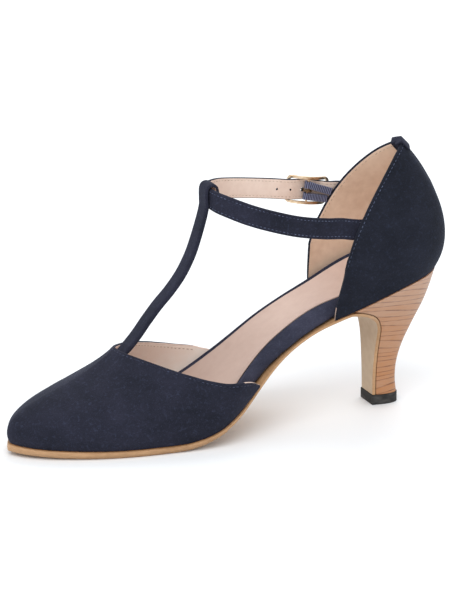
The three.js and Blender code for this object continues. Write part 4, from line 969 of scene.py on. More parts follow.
ANKLE_STRAP_LINE = Table(("ahead", "side", "high"), (
    (0.324, 0.838, 0.847),
    (0.416, 0.897, 0.857),
    (0.581, 0.96, 0.883),
    (0.744, 0.916, 0.921),
    (0.846, 0.815, 0.949),
    (0.931, 0.622, 0.976),
    (0.985, 0.356, 0.993),
    (1, 0.06, 1),
    (0.99, -0.25, 1),
    (0.95, -0.51, 0.998),
    (0.88, -0.725, 0.993),
    (0.788, -0.86, 0.982),
    (0.668, -0.955, 0.967),
    (0.551, -1, 0.953),
))


# ---------------------------------------------------------------- the sole's outline and the upper's walls


@dataclass
class Last:
    """Form that the shoe is made on: the sole's edge and height, and the walls of the upper.

    Attributes:
        sole_length: length of the sole.
        setback: how far its back lies behind the heel's tip.
        seat_width: width of the seat.
        ball_width: width of the ball.
        seat_height: height of the seat.
        toe_spring: rise of the toe.
        forepart: thickness of the sole under the ball.
        wall: thickness of the upper.
        seam: height of the upper's foot over the sole.
        edge_show: width of the sole's edge that shows beside the upper.
        rim: height over which the wall leaves the sole.
        tail: length of the vamp.
        throat: height of the vamp's throat.
        reach: front edge of the quarter on the inner side.
        outer_reach: front edge of the quarter on the outer side.
        quarter_height: height of the quarter.
        back_setback: how far the quarter's back top leans in.
        edge: the sole's outline.
    """

    sole_length: float = 227.2
    setback: float = 27.6
    seat_width: float = 51
    ball_width: float = 75
    seat_height: float = 70.3
    toe_spring: float = 2.4
    forepart: float = 3.4
    wall: float = 1.8
    seam: float = 0.45
    edge_show: float = 1.2
    rim: float = 6
    tail: float = 122.3
    throat: float = 42.3
    reach: float = 33.5
    outer_reach: float = 29.2
    quarter_height: float = 64.6
    back_setback: float = 10
    edge: Spline = field(init=False)

    def __post_init__(self) -> None:
        """Draws the sole's edge and finds the toe and the upper's ends on it."""
        plan = SOLE_PLAN.rows
        inner = [Vector((self.x_at(at), share * width, 0)) for at, width, share, _ in plan]
        outer = [Vector((self.x_at(at), -share * width, 0)) for at, width, _, share in plan[1:-1]]
        self.edge = Spline([*inner, *reversed(outer)], closed=True, divisions=900)
        turns = [0.4 + 0.2 * step / 900 for step in range(901)]
        self.toe_turn = max(turns, key=lambda turn: self.edge.at(turn).x)
        toe = self.x_at(1)
        self.vamp_turns = {side: self.turn_at(side, toe - self.tail) for side in Side}
        self.quarter_turns = {Side.INNER: self.turn_at(Side.INNER, self.reach),
                              Side.OUTER: self.turn_at(Side.OUTER, self.outer_reach)}
        self.vamp_wall = lru_cache(maxsize=None)(self._vamp_wall)
        self.quarter_wall = lru_cache(maxsize=None)(self._quarter_wall)

    def x_at(self, share: float) -> float:
        """Gives X at a share of the sole's length."""
        return share * self.sole_length - self.setback

    def top(self, x: float) -> float:
        """Gives the height of the sole's upper face at X."""
        at = (x + self.setback) / self.sole_length
        climb = SOLE_PROFILE.value("climb", at) * (self.seat_height - self.forepart)
        return self.forepart + climb + SOLE_PROFILE.value("spring", at) * self.toe_spring

    def edge_point(self, turn: float, inset: float = 0.0) -> tuple[Vector, Vector]:
        """Gives a point of the sole's edge, moved inwards, and its outward direction."""
        share = turn % 1
        along = self.edge.along(share)
        outward = Vector((-along.y, along.x, 0)).normalized()
        return self.edge.at(share) - outward * inset, outward

    def turn_at(self, side: Side, x: float) -> float:
        """Finds the share of the way round at which one side's edge passes X."""
        factor = 1 if side is Side.INNER else -(1 - self.toe_turn) / self.toe_turn
        return factor * narrow(0, self.toe_turn, lambda turn: self.edge_point(turn * factor)[0].x < x, 26)

    def _curve(self, bottom: Vector, outward: Vector, top: Vector, rows: Table, at: float,
               width: float) -> tuple[Vector, ...]:
        """Gives the four guide points of a wall's curve."""
        height = top.z - bottom.z
        spread = Vector((bottom.x - top.x, bottom.y - top.y, 0))
        lower = bottom + outward * rows.value("low", at) * width
        lower.z += rows.value("lift", at) * height
        upper = top + spread * rows.value("reach", at) + outward * rows.value("full", at) * width
        upper.z -= rows.value("drop", at) * height
        return bottom, lower, upper, top

    def _vamp_wall(self, along: float) -> tuple[Vector, ...]:
        """Gives the guide points of the vamp's wall at a share of its way round."""
        side = Side.INNER if along < 0.5 else Side.OUTER
        at = 1 - abs(2 * along - 1)
        toe_turn = self.toe_turn if side is Side.INNER else self.toe_turn - 1
        turn = mix(self.vamp_turns[side], toe_turn, at)
        bottom, outward = self.edge_point(turn, self.wall + self.edge_show * blend(at, 0, 0.12))
        bottom.z = self.top(bottom.x) + self.seam
        top_x = self.x_at(1) - VAMP_TOP.value("back", at) * self.tail
        top_y = side.value * VAMP_TOP.value("inner" if side is Side.INNER else "outer", at) * self.ball_width / 2
        dip = 0.0 if side is Side.INNER else VAMP_TOP.value("dip", at)
        top_z = self.top(top_x) + self.seam + (VAMP_TOP.value("high", at) - dip) * self.throat
        return self._curve(bottom, outward, Vector((top_x, top_y, top_z)), VAMP_WALL, at, self.ball_width)

    def _quarter_wall(self, along: float) -> tuple[Vector, ...]:
        """Gives the guide points of the quarter's wall at a share of its way round."""
        side = Side.INNER if along < 0.5 else Side.OUTER
        at = 1 - abs(2 * along - 1)
        bottom, outward = self.edge_point(self.quarter_turns[side] * (1 - at), GAP)
        bottom.z = self.top(bottom.x) + self.seam
        share = QUARTER_TOP.value("inner" if side is Side.INNER else "outer", at)
        top_x = share * (self.reach + self.back_setback) - self.back_setback
        top_y = side.value * QUARTER_TOP.value("side", at) * self.seat_width / 2
        top_z = self.seat_height + QUARTER_TOP.value("high", at) * self.quarter_height
        return self._curve(bottom, outward, Vector((top_x, top_y, top_z)), QUARTER_WALL, at, self.seat_width)


WallCurve = Callable[[float], tuple[Vector, ...]]


def edge_relief(below: float, seam: float) -> float:
    """Gives the relief at a folded edge: the groove of its seam and the swelling above it."""
    return -0.16 * bump_at(below, seam, 0.55) + 0.1 * bump_at(below, 0.9, 0.6)


@dataclass
class UpperWall:
    """One wall of the upper: outer face, folded top edge and lining.

    Attributes:
        last: form that it is made on.
        curve: gives the wall's guide points at a share along it.
        outwards: whether the drawn face is the inner one, as it lies on the last.
        fold: height over which the top edge is rounded.
    """

    last: Last
    curve: WallCurve
    outwards: bool = False
    fold: float = 0.55

    def point(self, along: float, up: float) -> Vector:
        """Gives a point of the drawn face."""
        a, b, c, d = self.curve(round(min(max(along, 0.0), 1.0), 6))
        rest = 1 - up
        return a * rest ** 3 + b * (3 * rest * rest * up) + c * (3 * rest * up * up) + d * up ** 3

    def free(self, along: float, up: float) -> float:
        """Gives how far a place is free of the rim at the sole, 0 to 1."""
        return blend(self.point(along, up).z - self.point(along, 0).z, 0, self.last.rim)

    def normal(self, along: float, up: float) -> Vector:
        """Gives the outward direction, level at the sole."""
        step = 0.012
        across = min(max(along, 3 * step), 1 - 3 * step)
        high = min(max(up, step), 1 - 3 * step)
        ahead = self.point(across + step, high) - self.point(across - step, high)
        above = self.point(across, high + step) - self.point(across, high - step)
        out = ahead.cross(above)
        out.z *= self.free(along, up)
        return out.normalized() * (-1 if self.outwards else 1)

    def up_at(self, along: float, below: float) -> float:
        """Gives the share of the height that lies so far below the top edge."""
        guides = self.curve(round(along, 6))
        speed = max(3 * (guides[3] - guides[2]).length, 1.0)
        return max(1 - below / speed, 0.0)

    def moved(self, along: float, up: float, distance: float) -> Vector:
        """Gives a point moved out of the drawn face; at the sole it stays on the sole."""
        drawn = self.point(along, up)
        place = drawn + self.normal(along, up) * distance
        place.z += (self.last.top(place.x) - self.last.top(drawn.x)) * (1 - self.free(along, up))
        return place

    def outer(self, along: float, up: float) -> Vector:
        """Gives a point of the outer face."""
        return self.moved(along, up, self.last.wall if self.outwards else 0.0)

    def inner(self, along: float, up: float) -> Vector:
        """Gives a point of the lining's face."""
        return self.moved(along, up, 0.0 if self.outwards else -self.last.wall)

    def seam_path(self, below: float, face: Face, start: float = 0.02, end: float = 0.98) -> list[Stitch]:
        """Gives a path along the top edge.

        Args:
            below: distance from the top edge.
            face: outside or lining.
            start: share along the wall at which the path starts.
            end: share along the wall at which it ends.

        Returns:
            Close places along the seam.
        """
        path = []
        for along in np.linspace(start, end, 420):
            up = self.up_at(along, below)
            out = self.normal(along, up)
            if face is Face.OUTSIDE:
                path.append(Stitch(self.outer(along, up), Vector(), out))
            else:
                path.append(Stitch(self.inner(along, up), Vector(), -out))
        return path

    def build(self, name: str, rows: int, outer: int, lining: int,
              relief: Callable[[float, float, float], float]) -> bpy.types.Object:
        """Builds the closed wall.

        Args:
            name: name of the piece.
            rows: steps along the wall.
            outer: steps up the outer face.
            lining: steps down the lining.
            relief: height of the outer face at a share along, a share up and a distance below the edge.

        Returns:
            The piece; its UV map runs along the wall and round its section.
        """
        arc = 8
        count = outer + arc + lining + 2
        thick = self.last.wall

        def place(along: float, share: float) -> Vector:
            """Gives the place of one grid point."""
            index = round(share * count) % count
            edge = self.up_at(along, self.fold)
            if index <= outer:
                spot = (index / outer) ** 0.9
                up = edge * spot
                guides = self.curve(round(along, 6))
                below = (1 - up) * 3 * (guides[3] - guides[2]).length
                lift = relief(along, up, below) * self.free(along, up)
                return self.outer(along, up) + self.normal(along, up) * lift
            if index < outer + arc:
                turn = math.pi * (index - outer) / arc
                out = self.normal(along, 1)
                start = self.outer(along, edge)
                rise = self.outer(along, 1) - start
                middle = start - out * (thick / 2)
                return middle + out * (math.cos(turn) * thick / 2) + rise * math.sin(turn)
            spot = 1 - (index - outer - arc) / lining
            return self.inner(along, edge * max(spot, 0.0))

        self.sections = (outer / count, (outer + arc) / count)
        return shaped_grid(name, rows, count, place, split_ends=True)


@dataclass
class Vamp:
    """Closed toe piece with its folded and stitched top line, lining and pointed tails.

    Attributes:
        last: form that it is made on.
        stitch_below: distance of the seam from the top edge.
        tail_cut: share along the wall over which the cut lining edge shows.
    """

    last: Last
    stitch_below: float = 1.6
    tail_cut: float = 0.052

    def relief(self, along: float, up: float, below: float) -> float:
        """Gives the outer face's relief: the seam's groove, the toe puff's edge and soft wrinkles."""
        groove = edge_relief(below, self.stitch_below)
        middle = 1 - abs(2 * along - 1)
        wrinkle = 0.0
        for place, height, reach in ((0.3, 0.42, 0.2), (0.7, 0.36, 0.22), (0.245, 0.55, 0.16), (0.755, 0.5, 0.18)):
            wrinkle -= 0.22 * bump_at(along - 0.1 * (up - height), place, 0.012) * bump_at(up, height, reach)
        puff = 0.12 * bump_at(up, 0.52, 0.03) * blend(middle, 0.55, 0.8)
        wave = 0.07 * math.sin(9 * up + 37 * along) * math.sin(23 * along + 4 * up)
        return groove + (wrinkle + puff + wave) * blend(below, 2, 7)

    def make(self, finishes: Finishes) -> None:
        """Builds the vamp and its seams.

        Args:
            finishes: all finishes of the shoe.
        """
        wall = UpperWall(self.last, self.last.vamp_wall, outwards=True)
        piece = wall.build("vamp_suede", 260, 44, 22, self.relief)
        first, second = wall.sections
        fold_end = mix(first, second, 0.62)
        cut_start = mix(first, second, 0.3)

        def choose(along: float, share: float, polygon: bpy.types.MeshPolygon) -> int:
            """Picks suede, lining or the cut edge."""
            cut = cut_start if min(along, 1 - along) < self.tail_cut else fold_end
            if share < cut or len(polygon.vertices) == 3:
                return Face.OUTSIDE.value
            return Face.CUT_EDGE.value if share < second else Face.LINING.value

        paint_faces(piece, (finishes.suede, finishes.vamp_lining, finishes.cut_edge), choose)
        hand_over(piece, "suede", "vamp")
        seam = Seam()
        seam.sew("vamp_stitches", [wall.seam_path(self.stitch_below, Face.OUTSIDE, 0.03, 0.97)],
                 finishes.dark_thread, "suede")
        seam.sew("vamp_lining_stitches", [wall.seam_path(self.stitch_below + 0.4, Face.LINING, 0.05, 0.95)],
                 finishes.beige_thread, "suede")


@dataclass
class Quarter:
    """Back of the upper: pointed over the heel bone, folded edges, back seam, lining and back tab.

    Attributes:
        last: form that it is made on.
        stitch_below: distance of the seam from the edge.
        raw_edge: height over the sole to which the inner front edge is left raw.
    """

    last: Last
    stitch_below: float = 1.6
    raw_edge: float = 7.5

    def relief(self, along: float, up: float, below: float) -> float:
        """Gives the outer face's relief: the edge seam's groove, the back seam and soft unevenness."""
        groove = edge_relief(below, self.stitch_below)
        back = abs(along - 0.5)
        seam = -0.22 * bump_at(back, 0, 0.0035) + 0.14 * bump_at(back, 0.011, 0.008)
        counter = 0.1 * bump_at(up, 0.62 + 0.25 * back, 0.03) * blend(back, 0.34, 0.1)
        wave = 0.08 * math.sin(8 * up + 29 * along) * math.sin(19 * along + 5 * up)
        return groove + (seam + counter + wave) * blend(below, 1.5, 5)

    def make(self, finishes: Finishes) -> None:
        """Builds the quarter, its seams and the back tab.

        Args:
            finishes: all finishes of the shoe.
        """
        wall = UpperWall(self.last, self.last.quarter_wall)
        piece = wall.build("quarter_suede", 280, 50, 26, self.relief)
        first, second = wall.sections
        fold_end = mix(first, second, 0.85)
        raw_top = (self.last.top(self.last.reach) + self.raw_edge) * MM

        def choose(along: float, share: float, polygon: bpy.types.MeshPolygon) -> int:
            """Picks suede, lining or the cut edge."""
            if len(polygon.vertices) == 3:
                raw = polygon.center.y > 0 and polygon.center.z < raw_top
                return Face.CUT_EDGE.value if raw else Face.OUTSIDE.value
            if share < fold_end:
                return Face.OUTSIDE.value
            return Face.CUT_EDGE.value if share < second else Face.LINING.value

        # The quarter's outer face takes the darker suede copy, painted shade.
        paint_faces(piece, (finishes.shaded_suede, finishes.quarter_lining, finishes.cut_edge), choose)
        hand_over(piece, "suede", "quarter")
        seam = Seam()
        halves = ((0.015, 0.472), (0.528, 0.985))
        seam.sew("quarter_stitches", [wall.seam_path(self.stitch_below, Face.OUTSIDE, *half) for half in halves],
                 finishes.blue_thread, "suede")
        seam.sew("quarter_lining_stitches",
                 [wall.seam_path(self.stitch_below + 0.5, Face.LINING, *half) for half in halves],
                 finishes.beige_thread, "suede")
        tab = refined_copy("back_tab", "back_tab_suede", 0.28, 2, 28)
        hand_over(dress(tab, finishes.suede), "suede", "back_tab")


# ---------------------------------------------------------------- straps


@dataclass
class Station:
    """One place of a strap.

    Attributes:
        middle: middle of the section.
        across: direction across the strap.
        half: half width.
        thick: half thickness.
    """

    middle: Vector
    across: Vector
    half: float
    thick: float


@dataclass
class StrapBody:
    """Flat strap with rounded edges and a seam along each edge.

    Attributes:
        stations: places along the strap.
        seam_share: place of the seam across the half width.
        groove: depth that the seam draws in.
        edge: rounding of the edges, 1 for a half round and less for squarer ones.
    """

    stations: Sequence[Station]
    seam_share: float = 0.9
    groove: float = 0.12
    edge: float = 0.6

    def __post_init__(self) -> None:
        """Draws the middle line through the stations."""
        self.line = Spline([station.middle for station in self.stations], divisions=600)
        measured = np.cumsum([0.0, *[(b.middle - a.middle).length for a, b in zip(self.stations, self.stations[1:])]])
        self.shares = measured / measured[-1]

    def frame_at(self, share: float) -> tuple[Vector, Vector, Vector, float, float]:
        """Gives middle, across, out, half width and half thickness at a share of the length."""
        index = min(max(int(np.searchsorted(self.shares, share)), 1), len(self.stations) - 1)
        first, second = self.stations[index - 1], self.stations[index]
        part = min(max((share - self.shares[index - 1]) / (self.shares[index] - self.shares[index - 1]), 0.0), 1.0)
        along = self.line.along(share)
        across = first.across.lerp(second.across, part)
        across = (across - along * across.dot(along)).normalized()
        out = across.cross(along).normalized()
        return (self.line.at(share), across, out, mix(first.half, second.half, part),
                mix(first.thick, second.thick, part))

    def section(self, share: float, round_share: float, count: int) -> Vector:
        """Gives one point of the strap's section; the outer face comes first."""
        middle, across, out, half, thick = self.frame_at(share)
        arc = 6
        flat = count // 2 - arc
        index = round(round_share * count) % count
        corner = min(thick, half * 0.5)
        face = 1 if index < flat + arc else -1
        step = index if face == 1 else index - flat - arc
        if step < flat:
            side = face * (1 - 2 * step / flat)
            lift = thick * (1 - 0.06 * side ** 4) - self.groove * bump_at(abs(side), self.seam_share, 0.07)
            return middle + across * (side * (half - corner)) + out * (face * lift)
        turn = math.pi * (step - flat) / arc
        reach = half - corner + corner * self.round_off(math.sin(turn))
        return middle - across * (face * reach) + out * (face * thick * 0.94 * self.round_off(math.cos(turn)))

    def round_off(self, value: float) -> float:
        """Gives a circle's value drawn out to a squarer edge."""
        return math.copysign(abs(value) ** self.edge, value)

    def build(self, name: str, rows: int, count: int = 48) -> bpy.types.Object:
        """Builds the closed strap with a UV map along it and round it."""
        return shaped_grid(name, rows, count, lambda along, share: self.section(along, share, count))

    def lined(self, piece: bpy.types.Object, outside: bpy.types.Material, lining: bpy.types.Material,
              count: int = 48) -> None:
        """Gives the inner face the lining and the rest the outside finish."""
        start = (count // 2 - 1) / count
        end = (count - 5) / count
        paint_faces(piece, (outside, lining),
                    lambda _, share, polygon: 1 if start < share < end and len(polygon.vertices) < 9 else 0)

    def seam_path(self, edge: int, face: Face, start: float, end: float) -> list[Stitch]:
        """Gives the path of a seam along one edge."""
        path = []
        for share in np.linspace(start, end, 500):
            middle, across, out, half, thick = self.frame_at(share)
            corner = min(thick, half * 0.5)
            away = out if face is Face.OUTSIDE else -out
            path.append(Stitch(middle + across * (edge * self.seam_share * (half - corner)) + away * (thick - 0.13),
                               Vector(), away))
        return path


@dataclass
class BucklePlace:
    """Buckle's own frame: x along the strap to the toe, y up, z out of the shoe.

    Attributes:
        front: X of the strap's front.
        half_width: half the width of the strap's hoop.
        high: height of the strap's middle at the front.
        after: distance from the strap's last drawn place to the buckle's middle.
        depth: sideways place of the buckle's middle.
        under: depth of the strap under the end bars.
    """

    front: float = 92.7
    half_width: float = 22.5
    high: float = 115.8
    after: float = 21.2
    depth: float = -24.78
    under: float = -2.35

    def __post_init__(self) -> None:
        """Sets the frame from the strap's last two places."""
        before, end = [self.strap_point(*row) for row in ANKLE_STRAP_LINE.rows[-2:]]
        forward = before - end
        forward.y = 0
        self.forward = forward.normalized()
        self.out = Vector((0, -1, 0))
        self.up = self.out.cross(self.forward)
        self.origin = end - self.forward * self.after
        self.origin.y = self.depth

    def strap_point(self, ahead: float, side: float, high: float) -> Vector:
        """Gives a place of the ankle strap's line from its shares."""
        return Vector((ahead * self.front, side * self.half_width, high * self.high))

    def at(self, x: float, y: float, z: float) -> Vector:
        """Gives the shoe's place of a place in the buckle's frame."""
        return self.origin + self.forward * x + self.up * y + self.out * z


@dataclass
class AnkleStrap:
    """Ankle strap: from inside the inner quarter round the front, through the loop and the buckle.

    Attributes:
        last: form that the quarter is made on.
        buckle: place of the buckle.
        width: width of the strap.
        thickness: thickness of the strap.
        tail: length of the free end behind the buckle.
        hole: width of a punched hole.
        prong_hole: width of the hole that the prong stands in.
        hole_pitch: distance from hole to hole.
        buckle_length: outer length of the buckle.
        buckle_bar: thickness of the buckle's bars.
        bar_ahead: place of the centre bar along the buckle.
        over: height of the strap's middle over the centre bar.
        first_hole: place of the prong's hole along the buckle.
    """

    last: Last
    buckle: BucklePlace
    width: float = 10.4
    thickness: float = 2.0
    tail: float = 13.5
    hole: float = 1.15
    prong_hole: float = 2.2
    hole_pitch: float = 7.4
    buckle_length: float = 22.6
    buckle_bar: float = 1.5
    bar_ahead: float = 0.8
    over: float = 0.48
    first_hole: float = 2.816

    def side_place(self, side: Side, x: float, height: float) -> tuple[Vector, Vector, Vector]:
        """Gives a point of the quarter's side at X and a height, its outward and its upward direction."""
        wall = UpperWall(self.last, self.last.quarter_wall)
        step = 0.05

        def rise_at(along: float) -> float:
            """Gives the share of the wall's height at the wanted height."""
            return narrow(0, 1, lambda up: wall.point(along, up).z < height)

        front = 0.0 if side is Side.INNER else 1.0
        along = narrow(0.5, front, lambda share: wall.point(share, rise_at(share)).x < x)
        up = rise_at(along)
        rise = wall.point(along, min(up + step, 1)) - wall.point(along, max(up - step, 0))
        return wall.point(along, up), wall.normal(along, up), rise.normalized()

    def body(self) -> StrapBody:
        """Draws the strap's line and section."""
        half = self.buckle_length / 2 - self.buckle_bar / 2
        depth = self.thickness / 2 + 4 * GAP
        hidden = []
        for x, high in ((9.5, 0.833), (20.5, 0.839)):
            point, out, rise = self.side_place(Side.INNER, x, high * self.buckle.high)
            hidden.append((point - out * (depth + self.last.wall + GAP), rise))
        under = self.buckle.under
        woven = [
            self.buckle.at(half, 0, under),
            self.buckle.at((half + self.bar_ahead) / 2, 0, mix(under, self.over, 0.5)),
            self.buckle.at(self.bar_ahead, 0, self.over),
            self.buckle.at((self.bar_ahead - half) / 2, 0, mix(under, self.over, 0.55)),
            self.buckle.at(-half, 0, under),
        ]
        ends = []
        for step in (0.4, 0.7, 1):
            spot = self.buckle.at(-half - step * self.tail, 0, under)
            point, out, rise = self.side_place(Side.OUTER, spot.x, spot.z)
            ends.append((point + out * depth, rise))
        bridge = [self.buckle.strap_point(*row) for row in ANKLE_STRAP_LINE.rows]
        line = Spline([*[point for point, _ in hidden], *bridge, *woven, *[point for point, _ in ends]])
        stations = []
        for share in np.linspace(0, 1, 161):
            along = line.along(share)
            upright = UP.lerp(hidden[1][1], 1 - blend(share, 0.06, 0.24))
            upright = upright.lerp(ends[1][1], blend(share, 0.925, 0.975))
            across = (upright - along * upright.dot(along)).normalized()
            to_tip = (1 - share) * line.length
            tip = math.sqrt(max(1 - (1 - min(to_tip / (self.width * 0.45), 1)) ** 2, 0))
            stations.append(Station(line.at(share), across, self.width / 2 * max(tip, 0.3), self.thickness / 2))
        return StrapBody(stations)

    def make(self, finishes: Finishes) -> None:
        """Builds the strap with its lining, seams and punched holes.

        Args:
            finishes: all finishes of the shoe.
        """
        body = self.body()
        strap = body.build("ankle_strap_suede", 300)
        body.lined(strap, finishes.suede, finishes.strap_lining)
        for count in (0, 1, 2, -1):
            width = self.hole if count else self.prong_hole
            self.punch(strap, self.first_hole + count * self.hole_pitch, width)
        hand_over(strap, "suede", "ankle_strap")
        seam = Seam(pitch=2.0, length=1.35)
        seam.sew("ankle_strap_stitches", [body.seam_path(edge, Face.OUTSIDE, 0.03, 0.97) for edge in (1, -1)],
                 finishes.blue_thread, "suede")
        seam.sew("ankle_strap_lining_stitches", [body.seam_path(edge, Face.LINING, 0.03, 0.97) for edge in (1, -1)],
                 finishes.beige_thread, "suede")

    def punch(self, strap: bpy.types.Object, along: float, width: float) -> None:
        """Cuts one hole through the strap.

        Args:
            strap: the strap's body.
            along: place of the hole in the buckle's frame.
            width: width of the hole.
        """
        clear_selection()
        bpy.ops.mesh.primitive_cylinder_add(vertices=20, radius=width / 2 * MM, depth=14 * MM)
        tool = bpy.context.object
        turn = Matrix((self.buckle.forward, self.buckle.up, self.buckle.out)).transposed().to_4x4()
        turn.translation = self.buckle.at(along, 0, (self.over + self.buckle.under) / 2) * MM
        tool.data.transform(turn)
        pick(strap)
        cut = strap.modifiers.new("punched hole", "BOOLEAN")
        cut.operation = "DIFFERENCE"
        cut.object = tool
        cut.solver = "EXACT"
        bpy.ops.object.modifier_apply(modifier=cut.name)
        bpy.data.objects.remove(tool)


@dataclass
class CentreStrap:
    """T-shaped strap: rises from inside the throat and folds round the ankle strap as a loop.

    Attributes:
        last: form that the vamp is made on.
        buckle: place of the ankle strap.
        width: width of the strap.
        thickness: its thickness where it shows.
        skived: its thickness inside the vamp.
        loop_wall: thickness of the loop.
        strap_width: width of the ankle strap.
        strap_thickness: thickness of the ankle strap.
        front_radius: radius of the ankle strap at the front.
    """

    last: Last
    buckle: BucklePlace
    width: float = 9.5
    thickness: float = 2.4
    skived: float = 1.3
    loop_wall: float = 1.6
    strap_width: float = 10.4
    strap_thickness: float = 2.0
    front_radius: float = 15.0

    def make(self, finishes: Finishes) -> None:
        """Builds the strap and its loop.

        Args:
            finishes: all finishes of the shoe.
        """
        throat = self.last.x_at(1) - VAMP_TOP.value("back", 1) * self.last.tail
        level = self.last.top(throat) + self.last.seam + VAMP_TOP.value("high", 1) * self.last.throat
        line = []
        for ahead, high, full in T_STRAP_LINE.rows:
            place = Vector((mix(self.buckle.front, throat, ahead), 0, mix(level, self.buckle.high, high)))
            line.append((place, mix(self.skived, self.thickness, full)))
        bow = (self.width / 2) ** 2 / (2 * self.front_radius)
        wall = self.loop_wall
        front = self.buckle.front + self.strap_thickness / 2 + 1.5 * GAP + wall / 2
        back = self.buckle.front - self.strap_thickness / 2 - bow - 2 * GAP - wall / 2
        top = self.buckle.high + self.strap_width / 2 + 2.5 * GAP + wall / 2
        low = self.buckle.high - self.strap_width / 2 - 2.5 * GAP - wall / 2
        middle = (front + back) / 2
        loop = [
            (front, low + 2.4, 1.25),
            (front + 0.1, low + 5.5, 1),
            (front, top - 2.6, 1),
            (front - 0.8, top - 0.75, 1),
            (middle, top, 1),
            (back + 0.8, top - 0.75, 1),
            (back, top - 2.6, 1),
            (back - 0.1, low + 5.5, 1),
            (back, low + 1.6, 1),
            (back + 0.7, low + 0.1, 0.9),
        ]
        places = line[:-1] + [(Vector((x, 0, z)), wall * factor) for x, z, factor in loop]
        stations = [Station(place, Vector((0, 1, 0)), self.width / 2, thick / 2) for place, thick in places]
        body = StrapBody(stations, groove=0.0, edge=0.4)
        strap = body.build("t_strap_suede", 240, 40)
        body.lined(strap, finishes.suede, finishes.strap_lining, 40)
        hand_over(strap, "suede", "t_strap")


# ---------------------------------------------------------------- buckle and elastics


@dataclass
class Buckle:
    """Bowed gold frame with a centre bar and a prong that passes through the strap.

    Attributes:
        place: the buckle's own frame.
        length: outer length of the frame.
        bar: thickness of the frame's bar.
        bow: how far the frame dips to the foot.
        clearance: room beside the strap.
        corner: radius of the frame's corners.
        strap_width: width of the strap.
        bar_ahead: place of the centre bar.
        centre_width: width of the centre bar.
    """

    place: BucklePlace
    length: float = 22.6
    bar: float = 1.5
    bow: float = 3.1
    clearance: float = 0.4
    corner: float = 1.8
    strap_width: float = 10.4
    bar_ahead: float = 0.8
    centre_width: float = 1.0

    def dip(self, along: float) -> float:
        """Gives how far the frame dips at a place along it."""
        window = self.length / 2 - self.bar
        reach = window - self.bar_ahead if along > self.bar_ahead else window + self.bar_ahead
        share = min(abs(along - self.bar_ahead) / reach, 1)
        return self.bow * (1 - share * share)

    def outline(self) -> list[tuple[float, float, float, float]]:
        """Gives the places round the frame's middle line with their outward directions."""
        half, tall = self.length / 2 - self.bar / 2, self.strap_width / 2 + self.clearance + self.bar / 2
        side, rise = half - self.corner, tall - self.corner
        spots: list[tuple[float, float, float, float]] = []
        for right, above, start in ((1, -1, 270), (1, 1, 0), (-1, 1, 90), (-1, -1, 180)):
            for step in range(9):
                angle = math.radians(start + 90 * step / 8)
                out_x, out_y = math.cos(angle), math.sin(angle)
                spots.append((right * side + self.corner * out_x, above * rise + self.corner * out_y, out_x, out_y))
            steps = 26 if right == above else 12
            for step in range(1, steps):
                if right == above:
                    spots.append((above * side * (1 - 2 * step / steps), above * tall, 0, above))
                else:
                    spots.append((right * half, above * rise * (1 - 2 * step / steps), right, 0))
        return spots

    def make(self, finishes: Finishes) -> None:
        """Builds the frame, its centre bar and the prong.

        Args:
            finishes: all finishes of the shoe.
        """
        spots = self.outline()
        section = 16

        def ring(along: float, share: float) -> Vector:
            """Gives a point of the rounded square bar."""
            x, y, out_x, out_y = spots[round(along * len(spots)) % len(spots)]
            turn = 2 * math.pi * (round(share * section) % section) / section
            reach = self.bar / 2 / max(abs(math.cos(turn)), abs(math.sin(turn))) ** 0.72
            sideways, deep = math.cos(turn) * reach, math.sin(turn) * reach
            return self.place.at(x + sideways * out_x, y + sideways * out_y, deep - self.dip(x))

        rim = shaped_grid("buckle_rim", len(spots), section, ring, 60)
        clear_selection()
        tall = self.strap_width / 2 + self.clearance + self.bar / 2
        radius = self.centre_width / 2 * 1.06
        bpy.ops.mesh.primitive_cylinder_add(vertices=16, radius=radius * MM, depth=2 * tall * MM)
        centre = bpy.context.object
        turn = Matrix((self.place.forward, self.place.out, self.place.up)).transposed().to_4x4()
        turn.translation = self.place.at(self.bar_ahead, 0, -self.bow) * MM
        centre.data.transform(turn)
        bpy.ops.object.shade_smooth_by_angle(angle=math.radians(50))
        clear_selection()
        centre.select_set(True)
        rim.select_set(True)
        bpy.context.view_layer.objects.active = rim
        bpy.ops.object.join()
        settle(rim, "buckle_frame_gold")
        hand_over(dress(rim, finishes.gold), "buckle_metal", "buckle_frame")
        # The prong takes the darkened gold, painted shade.
        prong = refined_copy("buckle_prong", "buckle_prong_gold", 0, 1, 60)
        hand_over(dress(prong, finishes.shaded_gold), "buckle_metal", "buckle_prong")


